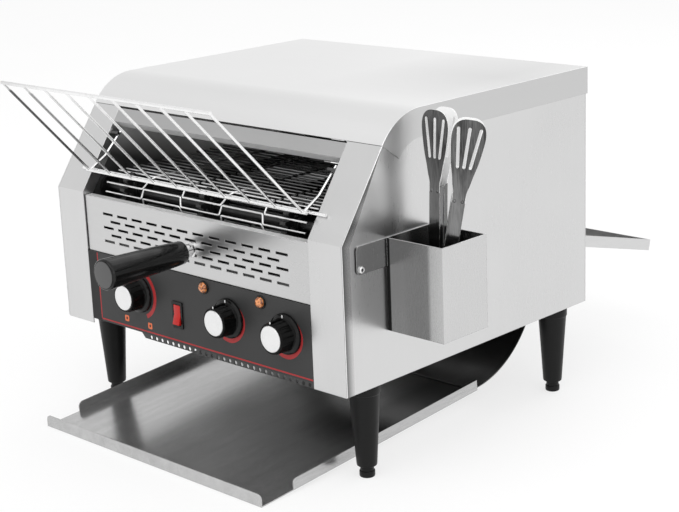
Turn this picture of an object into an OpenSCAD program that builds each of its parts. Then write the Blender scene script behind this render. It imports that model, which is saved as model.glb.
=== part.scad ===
// Countertop conveyor toaster with a wire feed rack, a flat-flex wire belt, a crumb drawer,
// front and rear toast trays and a tong holder. X runs across the front, to the right, Y runs
// to the back and Z runs up from the table.

/* [Casing] */
// Width of the casing, over the lips of its cover
case_w = 465; // [455:1:490]
// Depth of the casing
case_d = 417; // [410:1:435]
// Height of the flat top above the table
case_top = 388; // [386:1:396]
// Height of the casing's underside above the table
case_base = 106; // [104:1:110]
// Height at which the upright front turns into the sloped front
knee_h = 266.4; // [264:0.2:269]
// Angle of the sloped front to the table
front_slope = 54.8; // [53:0.1:57]
// Radius of the bend at the front of the cover
hood_r = 72; // [64:1:76]
// Width of each front column
column_w = 48; // [46:1:52]
// Depth of the lips round the cover
lip_h = 31; // [24:1:34]
// Thickness of the casing's sheet steel
sheet = 1.2; // [1:0.1:1.4]
// Depth of the fold behind each column's inner edge
column_return = 14; // [10:1:16]
// Width of the flanges that the casing is screwed together by
flange_w = 20; // [16:1:22]
// Height of the front beam's face
beam_h = 17; // [14:1:20]
// Depth of the front beam's folds
beam_d = 16; // [10:1:18]
// Gap between the front beam and the cover
beam_gap = 2.5; // [2:0.1:4]
// Diameter of the screws in the back
screw_d = 4; // [3:0.5:5]

/* [Control panel] */
// Height of the control panel
panel_h = 84; // [82:1:85]
// Height of the perforated apron under the control panel
apron_h = 6; // [5.5:0.1:7]
// Length of the perforated apron
apron_w = 279; // [250:1:300]
// Diameter of the apron's holes
apron_hole_d = 4.6; // [4:0.1:5]
// Distance from one apron hole to the next
apron_pitch = 9.5; // [8:0.5:12]
// Thickness of the printed overlay
overlay_t = 0.4; // [0.3:0.1:0.5]
// Depth of the box behind the control panel
box_d = 66; // [62:1:72]
// Height of the knobs' axes above the control panel's lower edge
knob_h = 47; // [44:1:50]
// Place of the left knob, from the middle
left_knob_x = -94; // [-100:1:-88]
// Place of the middle knob, from the middle
middle_knob_x = 59; // [56:1:64]
// Place of the right knob, from the middle
right_knob_x = 147; // [142:1:150]
// Diameter of a knob's skirt
knob_skirt_d = 44.8; // [42:0.2:46]
// Height of a knob's skirt
knob_skirt_h = 5.5; // [5:0.1:6.5]
// Diameter of a knob's grip
knob_grip_d = 34.6; // [32:0.2:36]
// Height of the knobs over the panel, without their caps
knob_len = 23.2; // [22:0.1:26]
// Diameter of a knob's silver cap
knob_cap_d = 31; // [28:0.2:31.6]
// Diameter of the spindles that the knobs turn
spindle_d = 6; // [5.5:0.1:6.5]
// Place of the rocker switch, from the middle
rocker_x = -27; // [-34:0.2:-24]
// Height of the rocker switch above the control panel's lower edge
rocker_h = 34; // [32:1:38]
// Width of the rocker
rocker_w = 11; // [10:0.2:12]
// Radius of the rocker's ends about its pivot
rocker_r = 12; // [11:0.2:13]
// Diameter of the lamp lenses
lamp_d = 12; // [11:0.2:13]
// How far the lamps reach in behind the panel
lamp_body_l = 22; // [18:1:24]
// Height of the lamps above the control panel's lower edge
lamp_h = 74.6; // [73:0.2:75.4]
// Place of the left lamp, from the middle
left_lamp_x = 20; // [16:0.1:24]
// Place of the right lamp, from the middle
right_lamp_x = 110; // [106:0.1:112]

/* [Crumb drawer] */
// Height of the drawer's front
drawer_front_h = 66.1; // [64:0.1:66.5]
// Depth of the fold along the top of the drawer's front
drawer_lip = 10; // [8:0.5:12]
// Length of a vent slot
vent_l = 18; // [16:0.5:20]
// Width of a vent slot
vent_w = 3; // [2.6:0.1:3.4]
// Distance from one vent slot to the next
vent_pitch = 26.1; // [24:0.1:26.4]
// Distance from one row of vents to the next
vent_row = 8.15; // [7.8:0.05:8.4]
// Number of vent rows
vent_rows = 5; // [3:1:5]
// Space between the crumb tray's runners and the rear tray's runners
tray_gap = 17.7; // [16:0.1:30]
// Width of the crumb tray's runners
runner_w = 8; // [7:0.5:10]
// Height of the crumb tray's runners above the tray's floor
runner_h = 12; // [10:0.5:14]
// Distance from the casing's front to the crumb tray's runners
runner_front = 20; // [16:1:24]
// Height of the crumb tray's walls
crumb_wall_h = 24; // [18:1:26]
// Length of the drawer's handle grip
grip_l = 109; // [100:1:115]
// Diameter of the grip at the drawer
grip_d1 = 26; // [24:0.5:28]
// Diameter of the grip at its end
grip_d2 = 34; // [32:0.5:36]
// Length of the bright ferrule behind the grip
ferrule_l = 13; // [11:0.5:15]
// Diameter of the ferrule
ferrule_d = 14; // [12:0.5:16]

/* [Belt] */
// Distance from one belt strand to the next
pitch = 11; // [10.6:0.1:11.2]
// Number of teeth on the belt sprockets, a multiple of four
belt_teeth = 12; // [12]
// Number of pitches between the two belt shafts
belt_run = 27; // [25:1:28]
// Thickness of the belt wire
wire = 2.2; // [2:0.1:2.4]
// Number of spaces across the belt, an odd number
belt_spaces = 5; // [3:2:11]
// Gap between the belt and the toasting chamber's wall
belt_side = 21; // [20:0.5:24]
// Height of the belt shafts above the table
belt_axis_h = 266; // [264:0.5:268]
// Distance from the casing's front to the front belt shaft
nose_back = 39.5; // [38:0.5:42]
// How far the bushes reach into the toasting chamber
bush_in = 4; // [3:0.1:4.5]
// How far the bushes reach out of the chamber's walls
bush_out = 5; // [4:0.5:6]
// Diameter of the belt shafts
shaft_d = 12; // [10:0.5:14]
// Thickness of the belt sprockets
belt_sprocket_t = 8; // [6:0.5:10]
// Pitch of the drive chain
chain_pitch = 8; // [7.8:0.1:8.2]
// Number of teeth on both chain sprockets, an even number
chain_teeth = 14; // [14]
// Number of chain pitches between the motor and the belt shaft
chain_run = 11; // [11]
// Diameter of the chain's rollers
roller_d = 5; // [4.6:0.1:5.2]

/* [Heating] */
// Diameter of the quartz heating tubes
tube_d = 10; // [8:0.5:11]
// Number of tubes above the belt
upper_tubes = 4; // [3:1:4]
// Number of tubes inside the belt
lower_tubes = 3; // [2:1:3]
// Distance from one tube to the next
tube_pitch = 60; // [50:1:62]
// Distance from the casing's top down to the upper heating tubes
upper_tube_drop = 52; // [50:0.5:56]
// Height of the reflector above the upper heating tubes
reflector_rise = 15; // [14:0.5:18]
// Height of the reflector's edges
reflector_lip = 14; // [8:0.5:16]
// How far the reflector reaches in front of the hood's middle
reflector_front = 30; // [20:1:32]

/* [Feed rack] */
// Number of rack wires
rack_wires = 10; // [8:1:12]
// Diameter of the rack wires
rack_wire_d = 3; // [2.6:0.1:3.4]
// Diameter of the rack's cross rods
rack_rod_d = 4; // [3.6:0.1:4.6]
// Length of the rack wires
rack_l = 164; // [150:1:176]
// Angle of the rack to the table
rack_angle = 46.8; // [44:0.1:50]
// Height of the rack's foot above the belt shafts
rack_foot_h = 26.5; // [25:0.5:29]

/* [Toast trays] */
// Gap from the toast trays' sides to the clear width between the columns
tray_side = 2.5; // [2:0.1:4]
// Inner radius of the curved return chute
chute_r = 124; // [120:1:126]
// Distance from the casing's back to the face of the chute
chute_back = 29.5; // [28:0.5:32]
// Height of the chute's lower edge above the table
chute_low = 27; // [25:0.5:28]
// Distance that the front tray stands out in front of the casing
front_out = 80; // [70:1:90]
// Height of the front tray's sides
front_side_h = 12.7; // [10:0.1:14]
// Slope of the rear tray
rear_slope = 14.4; // [12:0.1:16]
// Distance that the rear tray stands out behind the casing
rear_out = 209; // [190:1:220]
// Height of the rear tray's sides
rear_side_h = 14.2; // [12:0.1:16]
// Height of the rear opening
rear_open_h = 93; // [86:1:96]
// Length of the arms that carry the rear tray inside the casing
arm_l = 76; // [60:1:80]

/* [Legs] */
// Distance of the legs' axes from the casing's sides
leg_in = 21.5; // [20:0.5:30]
// Distance of the front legs' axes from the casing's front
leg_front = 47.5; // [45:0.5:60]
// Distance of the rear legs' axes from the casing's back
leg_back = 40.6; // [33:0.2:45]
// Diameter of a leg at the casing
leg_d1 = 35; // [33:0.5:37]
// Diameter of a leg at its lower end
leg_d2 = 22; // [20:0.5:24]
// Height of the levelling foot under a leg
foot_h = 12.5; // [11:0.5:14]
// Diameter of the levelling foot
foot_d = 17; // [15:0.5:19]
// Diameter of the levelling foot's screw
foot_screw_d = 8; // [7:0.5:9]

/* [Tong holder and tongs] */
// Width of the tong holder, out from the casing's side
holder_w = 75; // [70:1:80]
// Depth of the tong holder, front to back
holder_d = 70; // [66:1:72]
// Height of the tong holder
holder_h = 100; // [90:1:110]
// Height of the tong holder's rim above the table
holder_rim = 261.8; // [255:0.5:266]
// Distance from the casing's front to the tong holder
holder_back = 66.5; // [60:0.5:76]
// Length of the tong holder's ears
ear_l = 46.5; // [40:0.5:56]
// Height of the tong holder's ears
ear_h = 30; // [24:1:32]
// Length of a pair of tongs
tong_l = 225; // [200:1:240]
// Width of a tong's blade
blade_w = 37; // [32:0.5:38]
// Length of a tong's blade
blade_l = 62; // [58:1:70]
// Width of a tong's handle
tong_handle_w = 14; // [12:0.5:15]
// Depth of a tong handle's sides
tong_side_h = 5.5; // [4:0.5:6]
// Gap between the two handles of a pair of tongs
tong_gap = 1.6; // [1.4:0.1:2.4]
// Thickness of the tongs' steel
tong_t = 1; // [0.8:0.1:1.2]

/* [Gear motor] */
// Length of the motor
motor_l = 70; // [60:1:80]
// Diameter of the motor
motor_d = 38; // [36:0.5:38]
// Depth of the gear box
gear_box_w = 52; // [48:1:56]
// Height of the gear box
gear_box_h = 60; // [56:1:64]

/* [Hidden] */
$fn = 48;
// Gap left between two sheets that lie on one another
seat = 0.2;
// Gap under a piece that rests on another but moves against it
rest = 0.3;
// Length that makes a cut run clear through
through = 400;

// Casing
half_w = case_w / 2;
half_d = case_d / 2;
slope_s = sin(front_slope);
slope_c = cos(front_slope);
hood_z = case_top - hood_r;
slope_len = (hood_z + hood_r * slope_c - knee_h) / slope_s;
hood_y = -half_d + slope_len * slope_c + hood_r * slope_s;
side_x = half_w - sheet - seat;
side_in = side_x - sheet;
col_in = half_w - column_w;
inner_x = col_in + sheet + rest;
inner_out = inner_x + sheet;
rear_y = half_d - sheet - seat;
rear_in = rear_y - sheet;
floor_z = case_base + sheet + seat;
floor_top = floor_z + sheet;
wall_foot = 12;
cable_x = -col_in - 15;
cable_z = case_base + 30;
cable_r = 8;
gland_bore_r = 4;
screw_x = side_x - flange_w / 2;
screw_heights = [case_base + 22, (case_base + case_top) / 2 - 10, case_top - lip_h - 14];

// Control panel
panel_z0 = case_base + apron_h;
panel_z1 = panel_z0 + panel_h;
panel_half = col_in - rest;
panel_y = -half_d + overlay_t;
panel_in = panel_y + sheet;
knob_z = panel_z0 + knob_h;
knob_xs = [left_knob_x, middle_knob_x, right_knob_x];
switch_z = panel_z0 + rocker_h;
lamp_xs = [left_lamp_x, right_lamp_x];
lamp_z = panel_z0 + lamp_h;
box_z0 = panel_z0 + 1;
box_z1 = panel_z1 - 3;
bush_d = spindle_d + 4;
regulator_size = 32;
regulator_d = 28;
nut_h = 2.4;

// Crumb drawer
drawer_z0 = panel_z1 + 0.4;
sill = drawer_z0 + drawer_front_h;
drawer_half = col_in - 1.5;
drawer_y = -half_d + 2;
drawer_in = drawer_y + sheet;
crumb_half = inner_x - 6;
crumb_z = drawer_z0 + 3.4;
handle_z = drawer_z0 + 29.6;
stud_d = 8;

// Belt
belt_r = pitch / (2 * sin(180 / belt_teeth));
nose_y = front_at(belt_axis_h) + nose_back;
tail_y = nose_y + belt_run * pitch;
belt_half = inner_x - belt_side;
space_w = 2 * belt_half / belt_spaces;
strand_gap = wire + 0.5;
chain_r = chain_pitch / (2 * sin(180 / chain_teeth));
motor_z = belt_axis_h - chain_run * chain_pitch;
chain_x = -inner_out - 27;
chain_wheel_t = 2.8;
bush_flange_d = shaft_d + 14;
bush_body_d = shaft_d + 6;
fit = 0.05;
rail_h = 11;
rail_t = 3;
rail_rod_d = 6;
rail_z1 = belt_axis_h + belt_r - wire / 2 - rest;
rail_z0 = rail_z1 - rail_h;
rail_y0 = nose_y + belt_r + 10;
rail_y1 = tail_y - belt_r - 10;

// Heating
upper_z = case_top - upper_tube_drop;
lower_z = belt_axis_h - 3;
tube_mid = (nose_y + tail_y) / 2;
cap_t = 16;
reflector_z = upper_z + reflector_rise;

// Feed rack
foot_z = belt_axis_h + rack_foot_h;
foot_slope_y = -half_d + (foot_z - knee_h) * slope_c / slope_s;
foot_off = 13.1;
foot_y = foot_slope_y - foot_off;
rack_half = inner_x - 11.2;
rack_top_half = rack_half - 6.2;
rest_rod_off = rack_rod_d / 2 + rest;
rest_rod_t = (foot_z - 3 - knee_h) / slope_s;
rest_rod_y = -half_d + rest_rod_t * slope_c - rest_rod_off * slope_s;
rest_rod_z = knee_h + rest_rod_t * slope_s + rest_rod_off * slope_c;
rest_rod_half = col_in + 13.7;
rack_top_y = foot_y - rack_l * cos(rack_angle);
rack_top_z = foot_z + rack_l * sin(rack_angle);
hook_a = [foot_y + 24, foot_z + 13];
hook_b = hood_start(0) - [8, 26];
hook_n = (hook_b - hook_a) / norm(hook_b - hook_a);
peg_d = 4;
peg_off = peg_d / 2 + rack_wire_d / 2 + rest;
peg_at = hook_a + 0.8 * (hook_b - hook_a) + peg_off * [-hook_n[1], hook_n[0]];

// Toast trays
tray_half = col_in - tray_side;
chute_y = half_d - chute_back - chute_r;
chute_z = chute_low + chute_r;
rear_s = sin(rear_slope);
rear_c = cos(rear_slope);
rear_ref_y = chute_y + chute_r + 1.2;
rear_ref_z = chute_z + 22.9;
opening_z0 = rear_ref_z - (rear_y - rear_ref_y) * rear_s / rear_c - 0.6;
rear_len = (half_d + rear_out - rear_ref_y) / rear_c;
rear_arm_y = rear_ref_y - (arm_l + 4) * rear_c;
runner_stop = rear_arm_y - tray_gap;
tray_l = half_d + runner_stop - sheet - rest;
front_y = -half_d - front_out;
chute_half = tray_half - sheet - 3 * rest;
front_lift = 0;
front_end = chute_y + 6;
front_rise = chute_low - sheet - rest - front_lift - 1.05 * sheet;
front_angle = atan2(front_rise, front_end - front_y);

// Legs
leg_x = half_w - leg_in;
leg_ys = [-half_d + leg_front, half_d - leg_back];
leg_top = case_base - seat;
collar_h = 11;

// Tong holder and tongs
holder_x0 = side_x + seat;
holder_x1 = holder_x0 + holder_w;
holder_y0 = -half_d + holder_back;
holder_y1 = holder_y0 + holder_d;
holder_z0 = holder_rim - holder_h;
rivet_d = 4;
tong_offset = tong_side_h + tong_gap / 2;
left_tong_at = [holder_x0 + 26, holder_y0 + 48, holder_z0 + sheet + rest];
right_tong_at = [holder_x0 + 44, holder_y0 + 26, holder_z0 + sheet + 2];
left_lean = 2;
right_lean = 10;
right_turn = 42;
tong_pin_h = 12;
tong_pin_d = 3;
swing_foot = 1.6;
neck_l = 20;
handle_l = tong_l - blade_l - neck_l;

tong_reach = (tong_l - blade_w / 2) * sin(right_lean) * cos(right_turn)
    + blade_w / 2 * cos(right_turn) + tong_offset * sin(right_turn);

// The origin is on the table, in the middle of the whole object's outline
reach_x = (right_tong_at[0] + tong_reach - half_w) / 2;
reach_y = (rear_out + rear_side_h * rear_s + 2 - ferrule_l - seat - grip_l) / 2;

// Y of the casing's front at height z
function front_at(z) = -half_d + max(0, z - knee_h) * slope_c / slope_s;

function hood_start(inset) = [
    hood_y - (hood_r - inset) * slope_s,
    hood_z + (hood_r - inset) * slope_c
];

function knee_z(inset) = knee_h + inset * ((1 - slope_s) * slope_s / slope_c - slope_c);

// A point on a chain loop round two equal wheels, the first wheel's axis being at 0, 0
function loop_point(i, run, teeth, link, r) =
    i <= run ? [i * link, r]
    : i <= run + teeth / 2
        ? [run * link + r * cos(90 - (i - run) * 360 / teeth),
           r * sin(90 - (i - run) * 360 / teeth)]
    : i <= 2 * run + teeth / 2 ? [(2 * run + teeth / 2 - i) * link, -r]
    : [r * cos(-90 - (i - 2 * run - teeth / 2) * 360 / teeth),
       r * sin(-90 - (i - 2 * run - teeth / 2) * 360 / teeth)];

// Direction of the loop's link that starts at point i
function loop_angle(i, run, teeth, link, r) =
    let (a = loop_point(i, run, teeth, link, r))
    let (b = loop_point(i + 1, run, teeth, link, r))
    atan2(b[1] - a[1], b[0] - a[0]);

// Unit direction from one point of a path to the next
function along(path, i) = (path[i + 1] - path[i]) / norm(path[i + 1] - path[i]);

// The path moved sideways by d, with mitred corners
function beside(path, d) = [
    for (i = [0 : len(path) - 1])
        let (a = along(path, max(i - 1, 0)))
        let (b = along(path, min(i, len(path) - 2)))
        let (n = [-a[1] - b[1], a[0] + b[0]])
        path[i] + d * 2 * n / (n * n)
];

// Centre line of one belt strand, from one joint line to the next
function strand_path() = [
    for (k = [0 : belt_spaces - 1], side = [0, 1])
        [-belt_half + (k + side) * space_w + (side == 0 ? 1 : -1) * strand_gap / 2
            * ((k == 0 && side == 0) || (k == belt_spaces - 1 && side == 1) ? 0 : 1),
         k % 2 == 0 ? 0 : pitch]
];

function reversed(list) = [for (i = [len(list) - 1 : -1 : 0]) list[i]];

module at_origin() {
    translate([-reach_x, -reach_y, 0]) children();
}

// Extrudes an outline drawn in Y and Z from x0 to x1
module across(x0, x1) {
    translate([x0, 0, 0]) rotate([90, 0, 90]) linear_extrude(x1 - x0) children();
}

// Extrudes an outline drawn in X and Z from y0 to y1
module deep(y0, y1) {
    translate([0, y1, 0]) rotate([90, 0, 0]) linear_extrude(y1 - y0) children();
}

// A box from its lowest corner to its highest
module block(low, high) {
    translate(low) cube(high - low);
}

// A round rod along X
module rod_x(x0, x1, y, z, r) {
    translate([x0, y, z]) rotate([0, 90, 0]) cylinder(h = x1 - x0, r = r);
}

// A round rod along Y
module rod_y(y0, y1, x, z, r) {
    translate([x, y1, z]) rotate([90, 0, 0]) cylinder(h = y1 - y0, r = r);
}

// A round rod from point a to point b
module rod(a, b, r) {
    d = b - a;
    translate(a)
        rotate([0, acos(d[2] / norm(d)), atan2(d[1], d[0])])
            cylinder(h = norm(d), r = r, $fn = 24);
}

module rounded(w, h, r) {
    translate([r, 0]) square([w - 2 * r, h]);
    translate([0, r]) square([w, h - 2 * r]);
    for (x = [r, w - r], y = [r, h - r]) translate([x, y]) circle(r = r, $fn = 32);
}

// Outline of the casing seen from the side, moved inwards by inset
module profile(inset) {
    start = hood_start(inset);
    polygon([
        [-half_d + inset, case_base], [-half_d + inset, knee_z(inset)], start,
        [hood_y, hood_z], [hood_y, case_top - inset], [half_d - inset, case_top - inset],
        [half_d - inset, case_base]
    ]);
    translate([hood_y, hood_z]) circle(r = hood_r - inset, $fn = 96);
}

// The part of the outline that the cover takes up
module cover_zone() {
    polygon([
        [hood_y, hood_z], hood_start(-50), [-half_d - 50, case_top + 60],
        [half_d + 50, case_top + 60], [half_d + 50, case_top - lip_h],
        [hood_y, case_top - lip_h]
    ]);
}

// The part of the outline that the columns take up
module front_zone() {
    start = hood_start(-50);
    polygon([
        [hood_y, hood_z], start, [-half_d - 50, start[1]], [-half_d - 50, case_base],
        [hood_y, case_base]
    ]);
}

module side_panel() {
    across(side_in, side_x) difference() {
        profile(0);
        difference() {
            cover_zone();
            profile(sheet + seat);
        }
        translate([rear_in - seat, case_base - 1]) square(through);
    }
    across(col_in, side_x) intersection() {
        difference() {
            profile(0);
            profile(sheet);
        }
        front_zone();
    }
    difference() {
        across(col_in, col_in + sheet) intersection() {
            difference() {
                profile(0);
                profile(column_return);
            }
            front_zone();
        }
        block([0, -through, 0], [through, through, floor_top + 4]);
    }
    rod_x(rack_half - 4, col_in + sheet / 2, peg_at[0], peg_at[1], peg_d / 2);
    block([side_x - flange_w, -half_d, case_base], [side_x, rear_in - seat, case_base + sheet]);
    difference() {
        block([side_x - flange_w, rear_in - seat - sheet, case_base],
              [side_x, rear_in - seat, case_top - sheet - seat]);
        for (z = screw_heights) rod_y(0, through, screw_x, z, screw_d / 2);
    }
}

module left_side_panel() {
    color("silver") at_origin() mirror([1, 0, 0]) side_panel();
}

module right_side_panel() {
    color("silver") at_origin() difference() {
        side_panel();
        for (y = rivet_ys()) rod_x(0, through, y, rivet_z(), rivet_d / 2);
    }
}

module top_cover() {
    color("silver") at_origin() {
        across(-half_w, half_w) intersection() {
            difference() {
                profile(0);
                profile(sheet);
            }
            cover_zone();
        }
        for (x = [-half_w, half_w - sheet])
            across(x, x + sheet) intersection() {
                difference() {
                    profile(0);
                    profile(lip_h);
                }
                cover_zone();
            }
    }
}

module back_panel() {
    slot_count = 7;
    slot_step = 10;
    color("silver") at_origin() difference() {
        block([-side_x, rear_in, case_base], [side_x, rear_y, case_top - sheet - seat]);
        block([-inner_x, 0, opening_z0], [inner_x, through, opening_z0 + rear_open_h]);
        rod_y(0, through, cable_x, cable_z, cable_r);
        for (side = [-1, 1], z = screw_heights) rod_y(0, through, side * screw_x, z, screw_d / 2);
        for (side = [-1, 1], k = [0 : slot_count - 1])
            deep(0, through)
                translate([side * (inner_x + 14) - 9, opening_z0 + 6 + k * slot_step])
                    square([18, 3.4]);
    }
}

module base_plate() {
    front = -half_d + 18.5;
    rear = rear_in - seat - sheet - seat;
    color("silver") at_origin() difference() {
        block([-side_in + seat, front, floor_z], [side_in - seat, rear, floor_top]);
        block([-tray_half - 1.5, chute_y + 5, 0],
              [tray_half + 1.5, chute_y + chute_r + sheet + 2, through]);
        for (side = [-1, 1], k = [0 : 5])
            translate([side * (inner_out + wall_foot + 12), -60 + k * 16, floor_z - 1])
                linear_extrude(through) translate([-8, 0]) square([16, 4]);
    }
}

module inner_wall() {
    inset = sheet + seat;
    difference() {
        union() {
            across(inner_x, inner_out) difference() {
                profile(inset);
                translate([rear_in - seat, 0]) square(through);
                translate([-through, floor_top + seat - through]) square([2 * through, through]);
                translate([-half_d - 1, 0]) square([column_return + 1.4, floor_top + 6]);
            }
            block([inner_x, -half_d + 30, floor_top + seat],
                  [inner_out + wall_foot, rear_in - 4, floor_top + seat + sheet]);
        }
        rod_x(0, through, nose_y, belt_axis_h, bush_body_d / 2 + fit);
        rod_x(0, through, tail_y, belt_axis_h, bush_body_d / 2 + fit);
        for (k = [0 : upper_tubes - 1])
            rod_x(0, through, tube_y(k, upper_tubes), upper_z, tube_d / 2 + 1);
        for (k = [0 : lower_tubes - 1])
            rod_x(0, through, tube_y(k, lower_tubes), lower_z, tube_d / 2 + 1);
    }
}

module left_inner_wall() {
    color("gray") at_origin() mirror([1, 0, 0]) inner_wall();
}

module right_inner_wall() {
    color("gray") at_origin() inner_wall();
}

module front_beam() {
    half = col_in - seat;
    start = hood_start(0);
    color("silver") at_origin() across(-half, half)
        translate(start) rotate(front_slope) {
            translate([-beam_gap - beam_h, -sheet]) square([beam_h, sheet]);
            translate([-beam_gap - beam_h, -beam_d]) square([sheet, beam_d]);
            translate([-beam_gap - sheet, -beam_d]) square([sheet, beam_d]);
        }
}

module top_reflector() {
    half = inner_x - seat;
    front = hood_y - reflector_front;
    rear = rear_in - 6;
    color("silver") at_origin() {
        block([-half, front, reflector_z], [half, rear, reflector_z + sheet]);
        for (x = [-half, half - sheet])
            block([x, front, reflector_z], [x + sheet, rear, reflector_z + reflector_lip]);
    }
}

module return_chute() {
    flange_y = rear_in - seat;
    face_y = chute_y + chute_r;
    color("silver") at_origin() across(-chute_half, chute_half) {
        intersection() {
            translate([chute_y, chute_z]) difference() {
                circle(r = chute_r + sheet, $fn = 128);
                circle(r = chute_r, $fn = 128);
            }
            translate([chute_y, chute_z - chute_r - 10]) square([chute_r + 10, chute_r + 10]);
        }
        polygon([
            [face_y, chute_z], [face_y + sheet, chute_z],
            [face_y + sheet, rear_floor_z(face_y + sheet) - rest - sheet],
            [flange_y, rear_floor_z(flange_y) - rest - sheet],
            [flange_y, rear_floor_z(flange_y) - rest], [face_y, rear_floor_z(face_y) - rest]
        ]);
    }
}

// Height of the rear tray's underside at y
function rear_floor_z(y) = rear_ref_z - (y - rear_ref_y) * rear_s / rear_c;

function tube_y(k, count) = tube_mid + (k - (count - 1) / 2) * tube_pitch;

module control_panel() {
    apron_x = panel_half - apron_w;
    holes = floor((apron_w - 12) / apron_pitch);
    color("dimgray") at_origin() difference() {
        deep(panel_y, panel_in) polygon([
            [-panel_half, panel_z1], [-panel_half, panel_z0], [apron_x, panel_z0],
            [apron_x + 6, case_base], [panel_half, case_base], [panel_half, panel_z1]
        ]);
        for (k = [0 : holes - 1])
            rod_y(-through, 0, panel_half - 6 - k * apron_pitch, case_base + apron_h / 2 - 0.2,
                  apron_hole_d / 2);
        panel_cuts();
    }
}

// Holes for the regulators, the switch and the lamps
module panel_cuts() {
    for (x = knob_xs) rod_y(-through, 0, x, knob_z, bush_d / 2 + seat);
    for (x = lamp_xs) rod_y(-through, 0, x, lamp_z, lamp_d / 2 - 1 + seat);
    deep(-through, 0)
        translate([rocker_x - switch_in_w() / 2 - seat, switch_z - switch_in_h() / 2 - seat])
            square([switch_in_w() + 2 * seat, switch_in_h() + 2 * seat]);
}

function switch_in_w() = rocker_w + 3.2;

function switch_in_h() = 2 * rocker_r + 3.6;

module control_overlay() {
    color("darkslategray") at_origin() difference() {
        deep(-half_d, panel_y - 0.05)
            translate([-panel_half, panel_z0]) square([2 * panel_half, panel_h]);
        panel_cuts();
    }
}

module control_box() {
    half = inner_x - 0.5;
    back = panel_in + box_d;
    color("lightgray") at_origin() difference() {
        block([-half, panel_in + column_return + 2, box_z0], [half, back, box_z1]);
        block([-half + sheet, 0 - through, box_z0 + sheet],
              [half - sheet, back - sheet, box_z1 - sheet]);
    }
    color("lightgray") at_origin() difference() {
        block([-panel_half + 2, panel_in + seat, box_z0],
              [panel_half - 2, panel_in + column_return + 2.5, box_z1]);
        block([-panel_half + 2 + sheet, -through, box_z0 + sheet],
              [panel_half - 2 - sheet, through, box_z1 - sheet]);
    }
}

module regulators() {
    color("whitesmoke") at_origin() for (x = knob_xs) difference() {
        union() {
            block([x - regulator_size / 2, panel_in + seat, knob_z - regulator_size / 2],
                  [x + regulator_size / 2, panel_in + regulator_d, knob_z + regulator_size / 2]);
            rod_y(-half_d - nut_h - seat, panel_in + 2, x, knob_z, bush_d / 2);
            rod_y(-half_d - nut_h - seat, -half_d - seat, x, knob_z, bush_d / 2 + 2);
            for (dx = [-8, 0, 8])
                block([x + dx - 2.4, panel_in + regulator_d - 1, knob_z - 4],
                      [x + dx + 2.4, panel_in + regulator_d + 7, knob_z - 3.2]);
        }
        rod_y(-through, panel_in + regulator_d - 6, x, knob_z, spindle_d / 2 + fit);
    }
}

module spindle(x) {
    front = -half_d - knob_len + 7;
    color("goldenrod") at_origin()
        rod_y(front, panel_in + regulator_d - 6 - rest, x, knob_z, spindle_d / 2);
}

module left_spindle() {
    spindle(left_knob_x);
}

module middle_spindle() {
    spindle(middle_knob_x);
}

module right_spindle() {
    spindle(right_knob_x);
}

module knob(x) {
    base = -half_d - rest;
    top = -half_d - knob_len;
    color("black") at_origin() translate([x, 0, knob_z]) difference() {
        union() {
            translate([0, base, 0]) rotate([90, 0, 0]) rotate_extrude($fn = 72) polygon([
                [0, 0], [knob_skirt_d / 2, 0], [knob_skirt_d / 2, knob_skirt_h - 1.6],
                [knob_skirt_d / 2 - 1.6, knob_skirt_h], [knob_grip_d / 2 + 0.6, knob_skirt_h],
                [knob_grip_d / 2, knob_skirt_h + 1], [knob_grip_d / 2, base - top - 1],
                [knob_grip_d / 2 - 1, base - top], [0, base - top]
            ]);
            translate([-1.4, top, 0]) cube([2.8, base - top, knob_grip_d / 2 + 1.6]);
            translate([-1.4, base - knob_skirt_h - 0.8, 0])
                cube([2.8, knob_skirt_h + 0.8, knob_skirt_d / 2 - 1]);
            for (k = [1 : 17]) rotate([0, k * 20, 0])
                translate([0, 0, knob_grip_d / 2])
                    rotate([90, 0, 0]) translate([0, 0, -base + knob_skirt_h + 0.2])
                        cylinder(h = base - top - knob_skirt_h - 2.4, r = 0.9, $fn = 12);
        }
        translate([0, top + 1.2, 0]) rotate([90, 0, 0])
            cylinder(h = 10, r = knob_cap_d / 2 + seat);
        translate([0, base + 1, 0]) rotate([90, 0, 0])
            cylinder(h = knob_skirt_h + 1, r = bush_d / 2 + 3);
        translate([0, base + 1, 0]) rotate([90, 0, 0])
            cylinder(h = knob_len - 6, r = spindle_d / 2 + fit);
    }
}

module left_knob() {
    knob(left_knob_x);
}

module middle_knob() {
    knob(middle_knob_x);
}

module right_knob() {
    knob(right_knob_x);
}

module knob_cap(x) {
    top = -half_d - knob_len + 1.2 - fit;
    color("white") at_origin() translate([x, top, knob_z]) rotate([90, 0, 0])
        rotate_extrude($fn = 72) polygon([
            [0, 0], [knob_cap_d / 2, 0], [knob_cap_d / 2, 1.5], [knob_cap_d / 2 - 0.6, 2.1],
            [0, 2.1]
        ]);
}

module left_knob_cap() {
    knob_cap(left_knob_x);
}

module middle_knob_cap() {
    knob_cap(middle_knob_x);
}

module right_knob_cap() {
    knob_cap(right_knob_x);
}

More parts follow.
